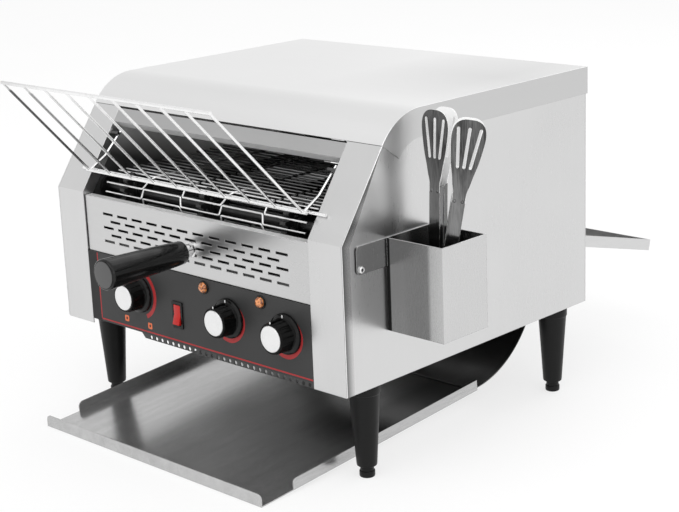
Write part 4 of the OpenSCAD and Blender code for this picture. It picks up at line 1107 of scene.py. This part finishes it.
@dataclass
class Belt:
    """The wire belt: one bent wire for each pitch, hooked on to the next."""

    pitch: float = 11.0
    teeth: int = 12
    run: int = 27
    spaces: int = 5
    wire_r: float = 1.1
    gap: float = 2.7
    bend_r: float = 2.0
    nose_y: float = -169.0
    axis_z: float = 266.0

    def loop(self, i: float) -> Flat:
        """Gives a point on the loop, as distance behind the front shaft and height above it.

        Args:
            i: Number of pitches from the front end of the upper run.

        Returns:
            The distance and the height.
        """
        radius = self.pitch / (2 * math.sin(math.pi / self.teeth))
        half, step = self.teeth / 2, 2 * math.pi / self.teeth
        if i <= self.run:
            return i * self.pitch, radius
        if i <= self.run + half:
            a = math.pi / 2 - (i - self.run) * step
            return self.run * self.pitch + radius * math.cos(a), radius * math.sin(a)
        if i <= 2 * self.run + half:
            return (2 * self.run + half - i) * self.pitch, -radius
        a = -math.pi / 2 - (i - 2 * self.run - half) * step
        return radius * math.cos(a), radius * math.sin(a)

    def build(self) -> None:
        """Builds the belt in place of its plain solid."""
        low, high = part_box("conveyor_belt")
        half = (high.x - low.x) / 2 / MM
        space = 2 * half / self.spaces
        shape = Shape()
        for i in range(2 * self.run + self.teeth):
            ends = (self.loop(i), self.loop(i + 1))
            corners: list[Vector] = []
            for k in range(self.spaces):
                y, z = ends[k % 2]
                left = -half + k * space + (self.gap / 2 if k else self.wire_r)
                right = -half + (k + 1) * space - self.gap / 2
                if k == self.spaces - 1:
                    right = half - self.wire_r
                for x in (left, right):
                    corners.append(place.at(x, self.nose_y + y, self.axis_z + z))
            shape.sweep(rounded_path(corners, self.bend_r, 2), self.wire_r, 8)
        shape.piece("wire_belt", "wire_steel", Finish.BELT, replaced="conveyor_belt")


@dataclass
class HeatingTubes:
    """The coils inside the quartz tubes."""

    rows: tuple[tuple[int, float], ...] = ((4, 336.0), (3, 263.0))
    pitch: float = 60.0
    middle_y: float = -20.5
    half_length: float = 176.0
    coil_r: float = 2.6
    wire_r: float = 0.45
    steps: int = 560

    def build(self) -> None:
        """Builds a coil in every tube, with eight steps to a turn."""
        shape = Shape()
        for count, z in self.rows:
            for k in range(count):
                y = self.middle_y + (k - (count - 1) / 2) * self.pitch
                path = []
                for step in range(self.steps + 1):
                    x = -self.half_length + 2 * self.half_length * step / self.steps
                    a = step * math.pi / 4
                    rise, back = self.coil_r * math.sin(a), self.coil_r * math.cos(a)
                    path.append(place.at(x, y + back, z + rise))
                shape.sweep(path, self.wire_r, 4)
        shape.piece("heating_coils", "machined_steel", Finish.COIL)


@dataclass
class FeedRack:
    """The slanting rack of wires in front of the opening."""

    wires: int = 10
    wire_r: float = 1.5
    rod_r: float = 2.0
    rod_end: float = 0.4
    half: float = 174.8
    top_half: float = 168.6
    rest_half: float = 198.2
    foot_over: float = 5.0
    foot_r: float = 4.0
    hook_r: float = 9.0
    foot: Flat = (-203.2, 292.5)
    top: Flat = (-315.4, 412.0)
    rest: Flat = (-194.1, 290.9)
    bend: Flat = (-179.2, 305.5)
    hook: Flat = (-152.2, 331.5)

    def build(self) -> None:
        """Builds the rack in place of its plain solid."""
        shape = Shape()
        for k in range(self.wires):
            share = 2 * k / (self.wires - 1) - 1
            path = [
                place.at(share * self.top_half, *self.top),
                place.at(share * self.half, *self.foot),
                place.at(share * self.half, *self.rest),
            ]
            shape.sweep(rounded_path(path, self.foot_r, 5), self.wire_r)
        inset = Vector((self.rod_end * MM, 0, 0))
        for half, at in (
            (self.top_half + self.wire_r, self.top),
            (self.half + self.foot_over, self.foot),
            (self.rest_half, self.rest),
        ):
            left, right = place.at(-half, *at), place.at(half, *at)
            shape.sweep([left, left + inset, right - inset, right], self.rod_r, 16)
        for side in Side:
            x = side.value * self.half
            path = [place.at(x, *at) for at in (self.foot, self.bend, self.hook)]
            shape.sweep(rounded_path(path, self.hook_r, 6), self.wire_r)
        shape.piece("wire_rack", "wire_steel", Finish.RACK, body="rack", replaced="feed_rack")


@dataclass
class Knob:
    """One turned knob with its skirt, ribs, white marks and silver disc."""

    node: str
    body: str
    x: float
    skirt_r: float = 22.4
    skirt_h: float = 5.5
    grip_r: float = 17.3
    height: float = 23.2
    disc_r: float = 14.3
    ribs: int = 18
    rib_r: float = 0.6
    ridge_w: float = 2.6
    ridge_h: float = 2.4
    steps: int = 96

    def build(self) -> None:
        """Builds the knob in place of its plain solids."""
        base = place.at(self.x, FRONT_Y, KNOB_Z)
        rim, skirt, grip, top, disc_r = (
            self.skirt_r, self.skirt_h, self.grip_r, self.height, self.disc_r
        )
        shape = Shape()
        shape.turn(
            [(8.0, skirt - 1.2), (grip + 1.2, skirt - 0.4), (grip + 0.5, skirt + 0.5),
             (grip + 0.1, skirt + 1.4), (grip - 0.5, top - 1.2), (grip - 0.7, top - 0.5),
             (grip - 1.2, top), (disc_r + 0.3, top), (disc_r + 0.2, top - 1.1),
             (2.0, top - 1.15)],
            base, FORWARD, self.steps,
        )
        for k in range(1, self.ribs):
            a = 2 * math.pi * k / self.ribs
            spoke = Vector((math.sin(a), 0.0, math.cos(a)))
            foot = base + FORWARD * (skirt + 1.0) * MM + spoke * (grip - 0.1) * MM
            end = base + FORWARD * (top - 1.6) * MM + spoke * (grip - 0.7) * MM
            rib = [foot, foot.lerp(end, 0.04), foot.lerp(end, 0.96), end]
            shape.sweep(rib, self.rib_r, 8)
        middle, length = (skirt + top) / 2 - 0.2, top - skirt - 0.4
        ridge = rounded_box(0.0, middle, self.ridge_w, length, 1.0)
        ridge_z = base.z + (grip + 0.2) * MM
        pose = Matrix(((MM, 0, 0, base.x), (0, -MM, 0, base.y), (0, 0, MM, ridge_z),
                       (0, 0, 0, 1)))
        shape.plate([ridge], self.ridge_h, 0.4, pose)
        shape.kinds = [1] * len(shape.faces)
        shape.turn(
            [(8.0, 0.3), (rim - 0.6, 0.3), (rim, 0.8), (rim, skirt - 2.6),
             (rim - 0.5, skirt - 1.7), (rim - 2.0, skirt - 0.9), (grip + 0.6, skirt),
             (8.0, skirt - 0.2)],
            base, FORWARD, self.steps,
        )
        shape.piece(f"{self.node}_dressed", "black_plastic", Finish.BLACK, Finish.KNOB,
                    body=self.body, replaced=self.node, smooth=30.0)
        marks = Shape()
        marks.plate([rounded_box(0, grip + 0.2, 1.5, 2.2, 0.3)], 0.5, 0.1,
                    front_pose(FRONT_Y - top + 0.3, self.x, KNOB_Z))
        marks.plate([rounded_box(0, rim - 2.6, 1.4, 3.4, 0.3)], 0.8, 0.1,
                    front_pose(FRONT_Y - skirt + 0.2, self.x, KNOB_Z))
        marks.piece(f"{self.node}_marks", "knob_cap", Finish.WHITE_INK, body=self.body)
        disc = Shape()
        disc.turn(
            [(0.2, top - 1.1), (disc_r, top - 1.1), (disc_r, top + 0.35),
             (disc_r - 0.3, top + 0.75), (disc_r - 0.8, top + 0.9), (disc_r * 0.6, top + 0.86),
             (disc_r * 0.3, top + 0.84), (0.2, top + 0.83)],
            base, FORWARD, self.steps,
        )
        disc.piece(f"{self.node}_disc", "knob_cap", Finish.CAP, body=self.body,
                   replaced=f"{self.node}_cap")


@dataclass
class ControlMarks:
    """Printed lines, arcs and pictures on the dark control panel."""

    half: float = 183.8
    top_z: float = 195.8
    bottom_z: float = 112.2
    line_x: float = -167.0
    line_z: float = 115.0
    left_x: float = -94.0
    upright_w: float = 1.7
    line_w: float = 1.8
    arc_rs: Flat = (30.3, 25.4)
    arc_turn: Flat = (30.0, 156.0)
    crescents: tuple[float, ...] = (59.0, 147.0)
    crescent_r: float = 20.5
    crescent: tuple[Flat, ...] = (
        (42.0, 21.0), (88.0, 24.2), (140.0, 25.8), (177.0, 28.4), (206.0, 29.0),
    )
    pictures: tuple[Flat, ...] = ((-119.7, 124.2), (-78.3, 122.7))
    picture_w: float = 7.4
    bevel: float = 0.01

    def build(self) -> None:
        """Builds the marks as thin printed layers."""
        width, height = self.half - self.line_x, self.top_z - self.line_z
        mid_z = (self.top_z + self.line_z) / 2
        edge = self.line_x - 0.6
        knob, (outer, inner), (start, end) = (self.left_x, KNOB_Z), self.arc_rs, self.arc_turn
        red = [
            rounded_box(self.line_x, mid_z, self.upright_w, height, 0.2),
            rounded_box(self.line_x + width / 2, self.line_z, width, self.line_w, 0.2),
            arc(knob, outer, start, end, 40) + arc(knob, inner, end, start, 40),
        ]
        red += [self._crescent((x, KNOB_Z)) for x in self.crescents]
        black = rounded_box((edge - self.half) / 2, (self.top_z + self.bottom_z) / 2,
                            edge + self.half, self.top_z - self.bottom_z, 0.3)
        side = self.picture_w
        orange = [rounded_box(x, z, side, side, 1.4) for x, z in self.pictures]
        slices = [self._slice(x, z) for x, z in self.pictures]
        for name, outlines, depth, look in (
            ("red", red, 0.12, Finish.RED_INK),
            ("black", [black], 0.1, Finish.OVERLAY_BLACK),
            ("orange", orange, 0.12, Finish.ORANGE_INK),
            ("slices", slices, 0.2, Finish.OVERLAY_BLACK),
        ):
            shape = Shape()
            for outline in outlines:
                shape.plate([outline], depth, self.bevel, front_pose(FRONT_Y))
            shape.piece(f"marks_{name}", "overlay", look)

    def _crescent(self, centre: Flat) -> list[Flat]:
        """Draws a crescent that grows clockwise round a knob.

        Args:
            centre: The knob's middle.

        Returns:
            The crescent's outline.
        """
        outer: list[Flat] = []
        for (a0, r0), (a1, r1) in zip(self.crescent, self.crescent[1:]):
            for t in (k / 8 for k in range(8)):
                outer.append(spot(centre, r0 + (r1 - r0) * t, a0 + (a1 - a0) * t))
        (first, _), (last, end_r) = self.crescent[0], self.crescent[-1]
        outer.append(spot(centre, end_r, last))
        return outer + arc(centre, self.crescent_r, last, first, 30)

    def _slice(self, x: float, z: float) -> list[Flat]:
        """Gives the outline of a slice of bread."""
        return arc((x, z + 0.6), 1.3, -100, 100, 12) + [(x + 1.0, z - 1.5), (x - 1.0, z - 1.5)]


@dataclass
class Switch:
    """The rocker of the power switch."""

    pivot_y: float = -207.5
    width: float = 10.8
    radius: float = 11.9
    tilt: float = -8.0

    def build(self) -> None:
        """Builds the rocker in place of its plain solid."""
        low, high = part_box("switch_frame")
        middle = place.back((low + high) / 2)
        c, s = math.cos(math.radians(self.tilt)), math.sin(math.radians(self.tilt))
        r = self.radius
        section = [
            (-4.4, r - 0.6), (-3.7, r * 0.5), (-2.7, 0.0), (-3.7, -r * 0.5), (-4.4, -r + 0.6),
            (1.0, -r + 0.3), (4.6, -2.2), (4.6, 2.2), (1.0, r - 0.3),
        ]
        outline = [(self.pivot_y + y * c - z * s, middle.z + y * s + z * c) for y, z in section]
        shape = Shape()
        shape.plate([outline], self.width, 0.5, side_pose(middle.x))
        shape.piece("rocker_dressed", "red_rocker", Finish.ROCKER, body="power_rocker",
                    replaced="switch_rocker", smooth=60.0)


@dataclass
class Lamps:
    """The two signal lamps with their bezels and domed lenses."""

    dome_foot: float = 1.6
    dome_h: float = 4.3

    def build(self) -> None:
        """Builds both lamps in place of their plain solids."""
        low, high = (place.back(corner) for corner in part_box("lamp_lenses"))
        r = (high.z - low.z) / 2
        bezel = [(r - 1.2, -20.0), (r - 1.2, 0.05), (r + 1.55, 0.05), (r + 1.6, 0.7),
                 (r + 1.1, 1.35), (r + 0.3, 1.4), (r + 0.1, 0.9), (r - 2.2, 0.8)]
        lens = [(r - 2.2, 0.9), (r - 0.1, 0.95)]
        for a in (math.radians(10 * k) for k in range(10)):
            lens.append((r * math.cos(a), self.dome_foot + self.dome_h * math.sin(a)))
        bezels, lenses = Shape(), Shape()
        for x in (low.x + r, high.x - r):
            base = place.at(x, FRONT_Y, low.z + r)
            bezels.turn(bezel, base, FORWARD, 48)
            lenses.turn(lens, base, FORWARD, 48)
        bezels.piece("lamp_bezels", "black_plastic", Finish.BLACK, replaced="lamp_bodies")
        lenses.piece("lamp_domes", "orange_lens", Finish.LENS, replaced="lamp_lenses")


@dataclass
class DrawerGrip:
    """The drawer's black grip with its grey end."""

    z: float = 225.7
    start_y: float = -219.7
    length: float = 109.0
    near_r: float = 13.0
    far_r: float = 17.0
    swell: float = 0.25
    disc_r: float = 14.6

    def build(self) -> None:
        """Builds the grip in place of its plain solid."""
        base = place.at(y=self.start_y, z=self.z)
        near, far, end = self.near_r, self.far_r, self.length
        profile = [(4.2, 0.0), (near - 1.6, 0.0), (near - 0.5, 0.5), (near, 1.7)]
        for t in (k / 12 for k in range(1, 12)):
            swell = math.sin(math.pi * t) * self.swell
            profile.append((near + (far - near) * t + swell, end * t))
        profile += [(far, end - 4.0), (far, end - 2.4), (far - 0.5, end - 1.3),
                    (far - 1.4, end - 0.7), (far - 2.2, end - 1.0), (2.0, end - 1.1)]
        shape, disc = Shape(), Shape()
        shape.turn(profile, base, FORWARD, 96)
        shape.piece("grip_dressed", "black_plastic", Finish.GRIP, body="crumb_drawer",
                    replaced="handle_grip")
        r = self.disc_r
        disc.turn([(1.0, end - 1.3), (r, end - 1.3), (r, end - 0.5), (r - 0.5, end - 0.1),
                   (r - 1.0, end - 0.02), (1.0, end)], base, FORWARD)
        disc.piece("grip_end_disc", "black_plastic", Finish.GRIP_END, body="crumb_drawer")


@dataclass
class Legs:
    """The four tapered legs and their levelling feet, as radii and heights."""

    leg: tuple[Flat, ...] = (
        (4.5, 12.8), (10.2, 12.8), (10.9, 13.4), (11.2, 15.0), (13.9, 56.0), (16.5, 93.4),
        (16.7, 94.4), (17.2, 94.9), (17.5, 95.7), (17.5, 105.0), (17.2, 105.6), (16.6, 105.8),
        (4.5, 105.8),
    )
    foot: tuple[Flat, ...] = (
        (1.0, 0.0), (7.4, 0.0), (8.2, 0.5), (8.5, 1.6), (8.5, 6.2), (8.3, 6.8), (7.4, 7.2),
        (7.4, 11.9), (7.0, 12.4), (3.95, 12.5), (3.95, 50.0), (0.5, 50.0),
    )

    def build(self) -> None:
        """Builds the legs and feet in place of their plain solids."""
        up = Vector((0.0, 0.0, 1.0))
        legs = Shape()
        for side in Side:
            for row in ("front", "rear"):
                name = side.name.lower()
                node = f"{row}_{name}_foot"
                low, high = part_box(node)
                base = Vector(((low.x + high.x) / 2, (low.y + high.y) / 2, 0.0))
                legs.turn(self.leg, base, up)
                foot = Shape()
                foot.turn(self.foot, base, up, 48)
                foot.piece(f"foot_{row}_{name}_dressed", "leg_plastic", Finish.LEG,
                           body=f"foot_{row}_{name}", replaced=node, smooth=30.0)
        legs.piece("legs_dressed", "leg_plastic", Finish.LEG, replaced="legs", smooth=30.0)


@dataclass
class Tongs:
    """One pair of serving tongs, each arm with a slotted blade and a channel handle."""

    node: str
    body: str
    foot_at: Point
    lean: float
    turn: float
    length: float
    half_turn: bool = False
    splay: float = 0.0
    blade_l: float = 58.0
    handle_w: float = 14.0
    neck_l: float = 19.0
    side_h: float = 5.5
    gap: float = 1.6
    thickness: float = 1.0
    rim_in: float = 0.5
    slot_w: float = 3.1
    slot_l: float = 39.0
    slot_pitch: float = 6.5
    slot_fan: float = 7.3
    slot_up: float = 9.4
    pin_z: float = 12.0
    rivet: tuple[Flat, ...] = ((1.6, -0.4), (1.5, 0.3), (1.1, 0.7), (0.4, 0.9), (0.05, 0.95))

    def __post_init__(self) -> None:
        """Works out the handle's length and how far the outer faces stand apart."""
        self.handle = self.length - self.blade_l - self.neck_l
        self.offset = self.side_h + self.gap / 2

    def _pose(self) -> Matrix:
        """Stands the tongs in their holder.

        Returns:
            The matrix from the tongs' millimetres to the row's metres.
        """
        turn = Matrix.Rotation(math.radians(self.turn), 4, "Z")
        lean = Matrix.Rotation(math.radians(self.lean), 4, "Y")
        half = Matrix.Rotation(math.pi if self.half_turn else 0.0, 4, "Z")
        foot = Matrix.Translation(place.at(*self.foot_at))
        return foot @ turn @ lean @ half @ Matrix.Scale(MM, 4)

    def _outline(self, mirrored: bool) -> list[Flat]:
        """Gives the outline of one arm, as a smooth curve from handle to blade.

        Args:
            mirrored: True for the arm that swings.

        Returns:
            The outline, with the handle's foot at height 0.
        """
        half = self.handle_w / 2 - self.rim_in
        knots = [
            (half, -8.0), (half + 0.3, 2.0), (half + 2.3, 10.0), (11.0, 20.5), (14.0, 33.0),
            (16.0, 46.0), (17.2, 56.5), (17.0, 64.0), (15.0, 70.5), (11.0, 74.8), (5.6, 76.8),
            (0.0, 77.0),
        ]
        knots = [(x, self.handle + z) for x, z in knots]
        right = [(self.handle_w / 2, 1.8 if mirrored else 0.2),
                 (self.handle_w / 2, self.handle - 9.0)]
        ends = [knots[0], *knots, knots[-1]]
        for four in zip(ends, ends[1:], ends[2:], ends[3:]):
            for t in (k / 4 for k in range(4)):
                right.append(tuple(
                    0.5 * (2 * b + (c - a) * t + (2 * a - 5 * b + 4 * c - d) * t * t
                           + (3 * b - a - 3 * c + d) * t ** 3)
                    for a, b, c, d in zip(*four)
                ))
        return right + [(0.0, self.length)] + [(-x, z) for x, z in reversed(right)]

    def _slots(self) -> list[list[Flat]]:
        """Draws the three fanned slots of a blade.

        Returns:
            Their outlines.
        """
        base = self.length - self.blade_l + self.slot_up
        ends = arc((0.0, self.slot_l), self.slot_w / 2, -90, 90, 8)
        ends += arc((0.0, 0.0), self.slot_w / 2, 90, 270, 8)
        loops = []
        for k in (-1, 0, 1):
            a = math.radians(k * self.slot_fan)
            c, s = math.cos(a), math.sin(a)
            loops.append([
                (k * self.slot_pitch + x * c + z * s, base - x * s + z * c) for x, z in ends
            ])
        return loops

    def _channel(self, low: float, high: float, mirrored: bool) -> list[Flat]:
        """Draws one side of the handle.

        Args:
            low: Its lower edge, from the middle between the arms.
            high: Its upper edge.
            mirrored: True for the arm that swings.

        Returns:
            The outline.
        """
        end = self.handle
        if mirrored:
            return [(low, 20.0), (high - 0.1, 20.0), (high - 0.1, end), (low + 1.6, end),
                    (low, end - 3.0)]
        return [(low + 0.1, 0.2), (high, 0.2), (high, end - 3.0), (high - 1.6, end),
                (low + 0.1, end)]

    def _lug(self, mirrored: bool) -> list[Flat]:
        """Draws an arm's lug at the hinge.

        Args:
            mirrored: True for the arm that swings.

        Returns:
            The outline.
        """
        if not mirrored:
            return rounded_box(0.0, self.pin_z, 5.6, 5.6, 2.4)
        top = self.offset - 0.5
        return [(-2.6, 9.4), (2.6, 9.4), (top, 19.5), (top, 24.0), (2.0, 24.0), (-2.6, 14.6)]

    def _arm(self, mirrored: bool) -> Shape:
        """Builds one arm.

        Args:
            mirrored: True for the arm that swings.

        Returns:
            The arm's shape, with its rim, outer face and inner face as kinds 0, 1 and 2.
        """
        pose = self._pose()
        flip = -1.0 if mirrored else 1.0
        middle = -(self.offset - self.thickness / 2) * flip
        face = Matrix(((1, 0, 0, 0), (0, 0, -flip, middle), (0, 1, 0, 0), (0, 0, 0, 1)))
        shape = Shape()
        shape.plate([self._outline(mirrored), *self._slots()], self.thickness, 0.25, face)
        if mirrored:
            for point in shape.points:
                rise = max(0.0, (point.z - self.handle) / (self.length - self.handle))
                point.y += self.splay * rise * rise
        shape.points = [pose @ point for point in shape.points]
        low, high = sorted((-self.offset * flip, -self.gap / 2 * flip))
        out = (pose.to_3x3() @ Vector((0.0, -flip, 0.0))).normalized()
        for x in (-1, 1):
            for outline, inset, depth in (
                (self._channel(low, high, mirrored), self.thickness / 2, self.thickness),
                (self._lug(mirrored), 2.6 if mirrored else 0.7, 1.0),
            ):
                at = x * (self.handle_w / 2 - inset)
                side = Matrix(((0, 0, 1, at), (1, 0, 0, 0), (0, 1, 0, 0), (0, 0, 0, 1)))
                shape.plate([outline], depth, 0.2, pose @ side)
            at = Vector((x * 4.0, -(self.offset - 0.35) * flip, self.handle - 7.0))
            shape.turn(self.rivet, pose @ at, out, 16, 1)
        if not mirrored:
            across = (pose.to_3x3() @ Vector((1.0, 0.0, 0.0))).normalized()
            half = self.handle_w / 2 - self.rim_in
            pin = pose @ Vector((0.0, 0.0, self.pin_z))
            shape.turn([(1.5, -half), (1.5, half)], pin, across, 24)
        return shape

    def build(self) -> None:
        """Builds both arms in place of their plain solids."""
        for mirrored, node, body in (
            (False, self.node, self.body), (True, f"{self.node}_arm", f"{self.body}_swing"),
        ):
            # Rims, outer faces and inner faces get the highlight, dark-reflection and lit copies
            # of one steel.
            self._arm(mirrored).piece(
                f"{node}_dressed", "tong_steel", Finish.TONG_EDGE, Finish.TONG_FACE,
                Finish.TONG_PALE, body=body, replaced=node, smooth=35.0,
            )


@dataclass
class Studio:
    """Floor, light and camera.

    Attributes:
        camera_at: Where the camera stands.
        azimuth: Its direction in degrees, from straight ahead to the right.
        elevation: Its height in degrees.
        roll: How far it is turned about its view, in degrees.
        focal_px: Its focal length in pixels.
        image_w: Width of the picture in pixels.
        sensor_w: Width of its sensor.
        floor_glow: Strength of the floor's own light, for rays that show the background.
        floor_size: Half the floor's width, in metres.
        sky: Position and grey of the world's tones, from the horizon up.
        boxes: Name, place, power in watts and size in metres of each soft box.
        aim: Where the soft boxes point.
    """

    camera_at: Point = (1309.2, -1314.2, 690.6)
    azimuth: float = 44.33
    elevation: float = 15.67
    roll: float = -2.33
    focal_px: float = 1613.6
    image_w: int = 679
    sensor_w: float = 36.0
    floor_glow: float = 0.72
    floor_size: float = 30.0
    sky: tuple[Flat, ...] = (
        (0.0, 0.96), (0.22, 1.0), (0.4, 0.92), (0.56, 0.82), (0.72, 0.99), (1.0, 0.75),
    )
    boxes: tuple[tuple[str, Point, float, float], ...] = (
        ("key", (500.0, -1700.0, 3000.0), 28.0, 2.6),
        ("fill", (2400.0, -200.0, 1700.0), 12.0, 2.4),
        ("back", (-300.0, 2100.0, 2100.0), 12.0, 2.4),
    )
    aim: Point = (0.0, 0.0, 220.0)

    def build_camera(self) -> None:
        """Places the camera."""
        a, e, r = (math.radians(v) for v in (self.azimuth, self.elevation, self.roll))
        back = Vector((math.sin(a) * math.cos(e), -math.cos(a) * math.cos(e), math.sin(e)))
        right = (-back).cross(Vector((0.0, 0.0, 1.0))).normalized()
        up = right.cross(-back).normalized()
        x_axis = right * math.cos(r) + up * math.sin(r)
        y_axis = up * math.cos(r) - right * math.sin(r)
        data = bpy.data.cameras.new("camera")
        data.sensor_width = self.sensor_w
        data.lens = self.focal_px * self.sensor_w / self.image_w
        data.clip_end = 100.0
        camera = link("camera", data)
        turn = Matrix((x_axis, y_axis, back)).transposed().to_4x4()
        camera.matrix_world = Matrix.Translation(place.at(*self.camera_at)) @ turn
        bpy.context.scene.camera = camera

    def build_floor(self) -> None:
        """Lays a wide pale floor, which keeps the toaster's shadow."""
        g = Coating("floor_pale")
        colour = g.blend(g.noise(3.0, 2.0), grey(0.93), grey(0.96))
        material = g.dress(Base_Color=colour, Roughness=0.9)
        glow = g.add("ShaderNodeEmission", None, {"Strength": 1.0})
        surface = Value(g, g.shader.outputs[0])
        inputs = {0: g.seen() * self.floor_glow, 1: surface, 2: glow}
        pale = g.add("ShaderNodeMixShader", None, inputs)
        g.tree.links.new(pale.socket, g.output.inputs[0])
        mesh = bpy.data.meshes.new("floor")
        size, z = self.floor_size, -0.0002
        corners = [(-size, -size, z), (size, -size, z), (size, size, z), (-size, size, z)]
        mesh.from_pydata(corners, [], [(0, 1, 2, 3)])
        mesh.materials.append(material)
        link("floor", mesh)

    def build_light(self) -> None:
        """Hangs the soft boxes and sets the world's greys."""
        for name, at, power, size in self.boxes:
            lamp = bpy.data.lights.new(name, "AREA")
            lamp.energy = power
            lamp.size = size
            holder = link(name, lamp)
            holder.location = place.at(*at)
            out = place.at(*at) - place.at(*self.aim)
            holder.rotation_euler = out.to_track_quat("Z", "Y").to_euler()
        world = bpy.data.worlds.new("studio")
        bpy.context.scene.world = world
        world.use_nodes = True
        g = Graph(world.node_tree)
        colour = g.ramp(g.part("ShaderNodeTexCoord", "Generated", "Z"), *self.sky)
        glow = g.add("ShaderNodeBackground", None, {"Color": colour, "Strength": 1.0})
        output = g.tree.nodes.new("ShaderNodeOutputWorld")
        g.tree.links.new(glow.socket, output.inputs[0])
        bpy.context.scene.view_settings.view_transform = "Standard"

    def build(self) -> None:
        """Builds the whole studio."""
        self.build_camera()
        self.build_floor()
        self.build_light()
        log.info("studio: camera, floor and %d soft boxes", len(self.boxes))


def main() -> None:
    """Builds the studio and dresses every part of the toaster."""
    logging.basicConfig(level=logging.INFO, format="%(message)s")
    for part in (
        Studio(),
        Casing(),
        Belt(),
        HeatingTubes(),
        FeedRack(),
        ControlMarks(),
        Switch(),
        Lamps(),
        DrawerGrip(),
        Legs(),
        Knob("left_knob", "left_dial", -94.0),
        Knob("middle_knob", "middle_dial", 59.0),
        Knob("right_knob", "right_dial", 147.0),
        Tongs("left_tongs", "tongs_left", (257.3, -94.0, 163.3), 2.0, 0.0, 227.4, splay=6.0),
        Tongs("right_tongs", "tongs_right", (275.3, -116.0, 165.0), 10.0, 42.0, 222.2, True),
    ):
        part.build()


if __name__ == "__main__":
    main()
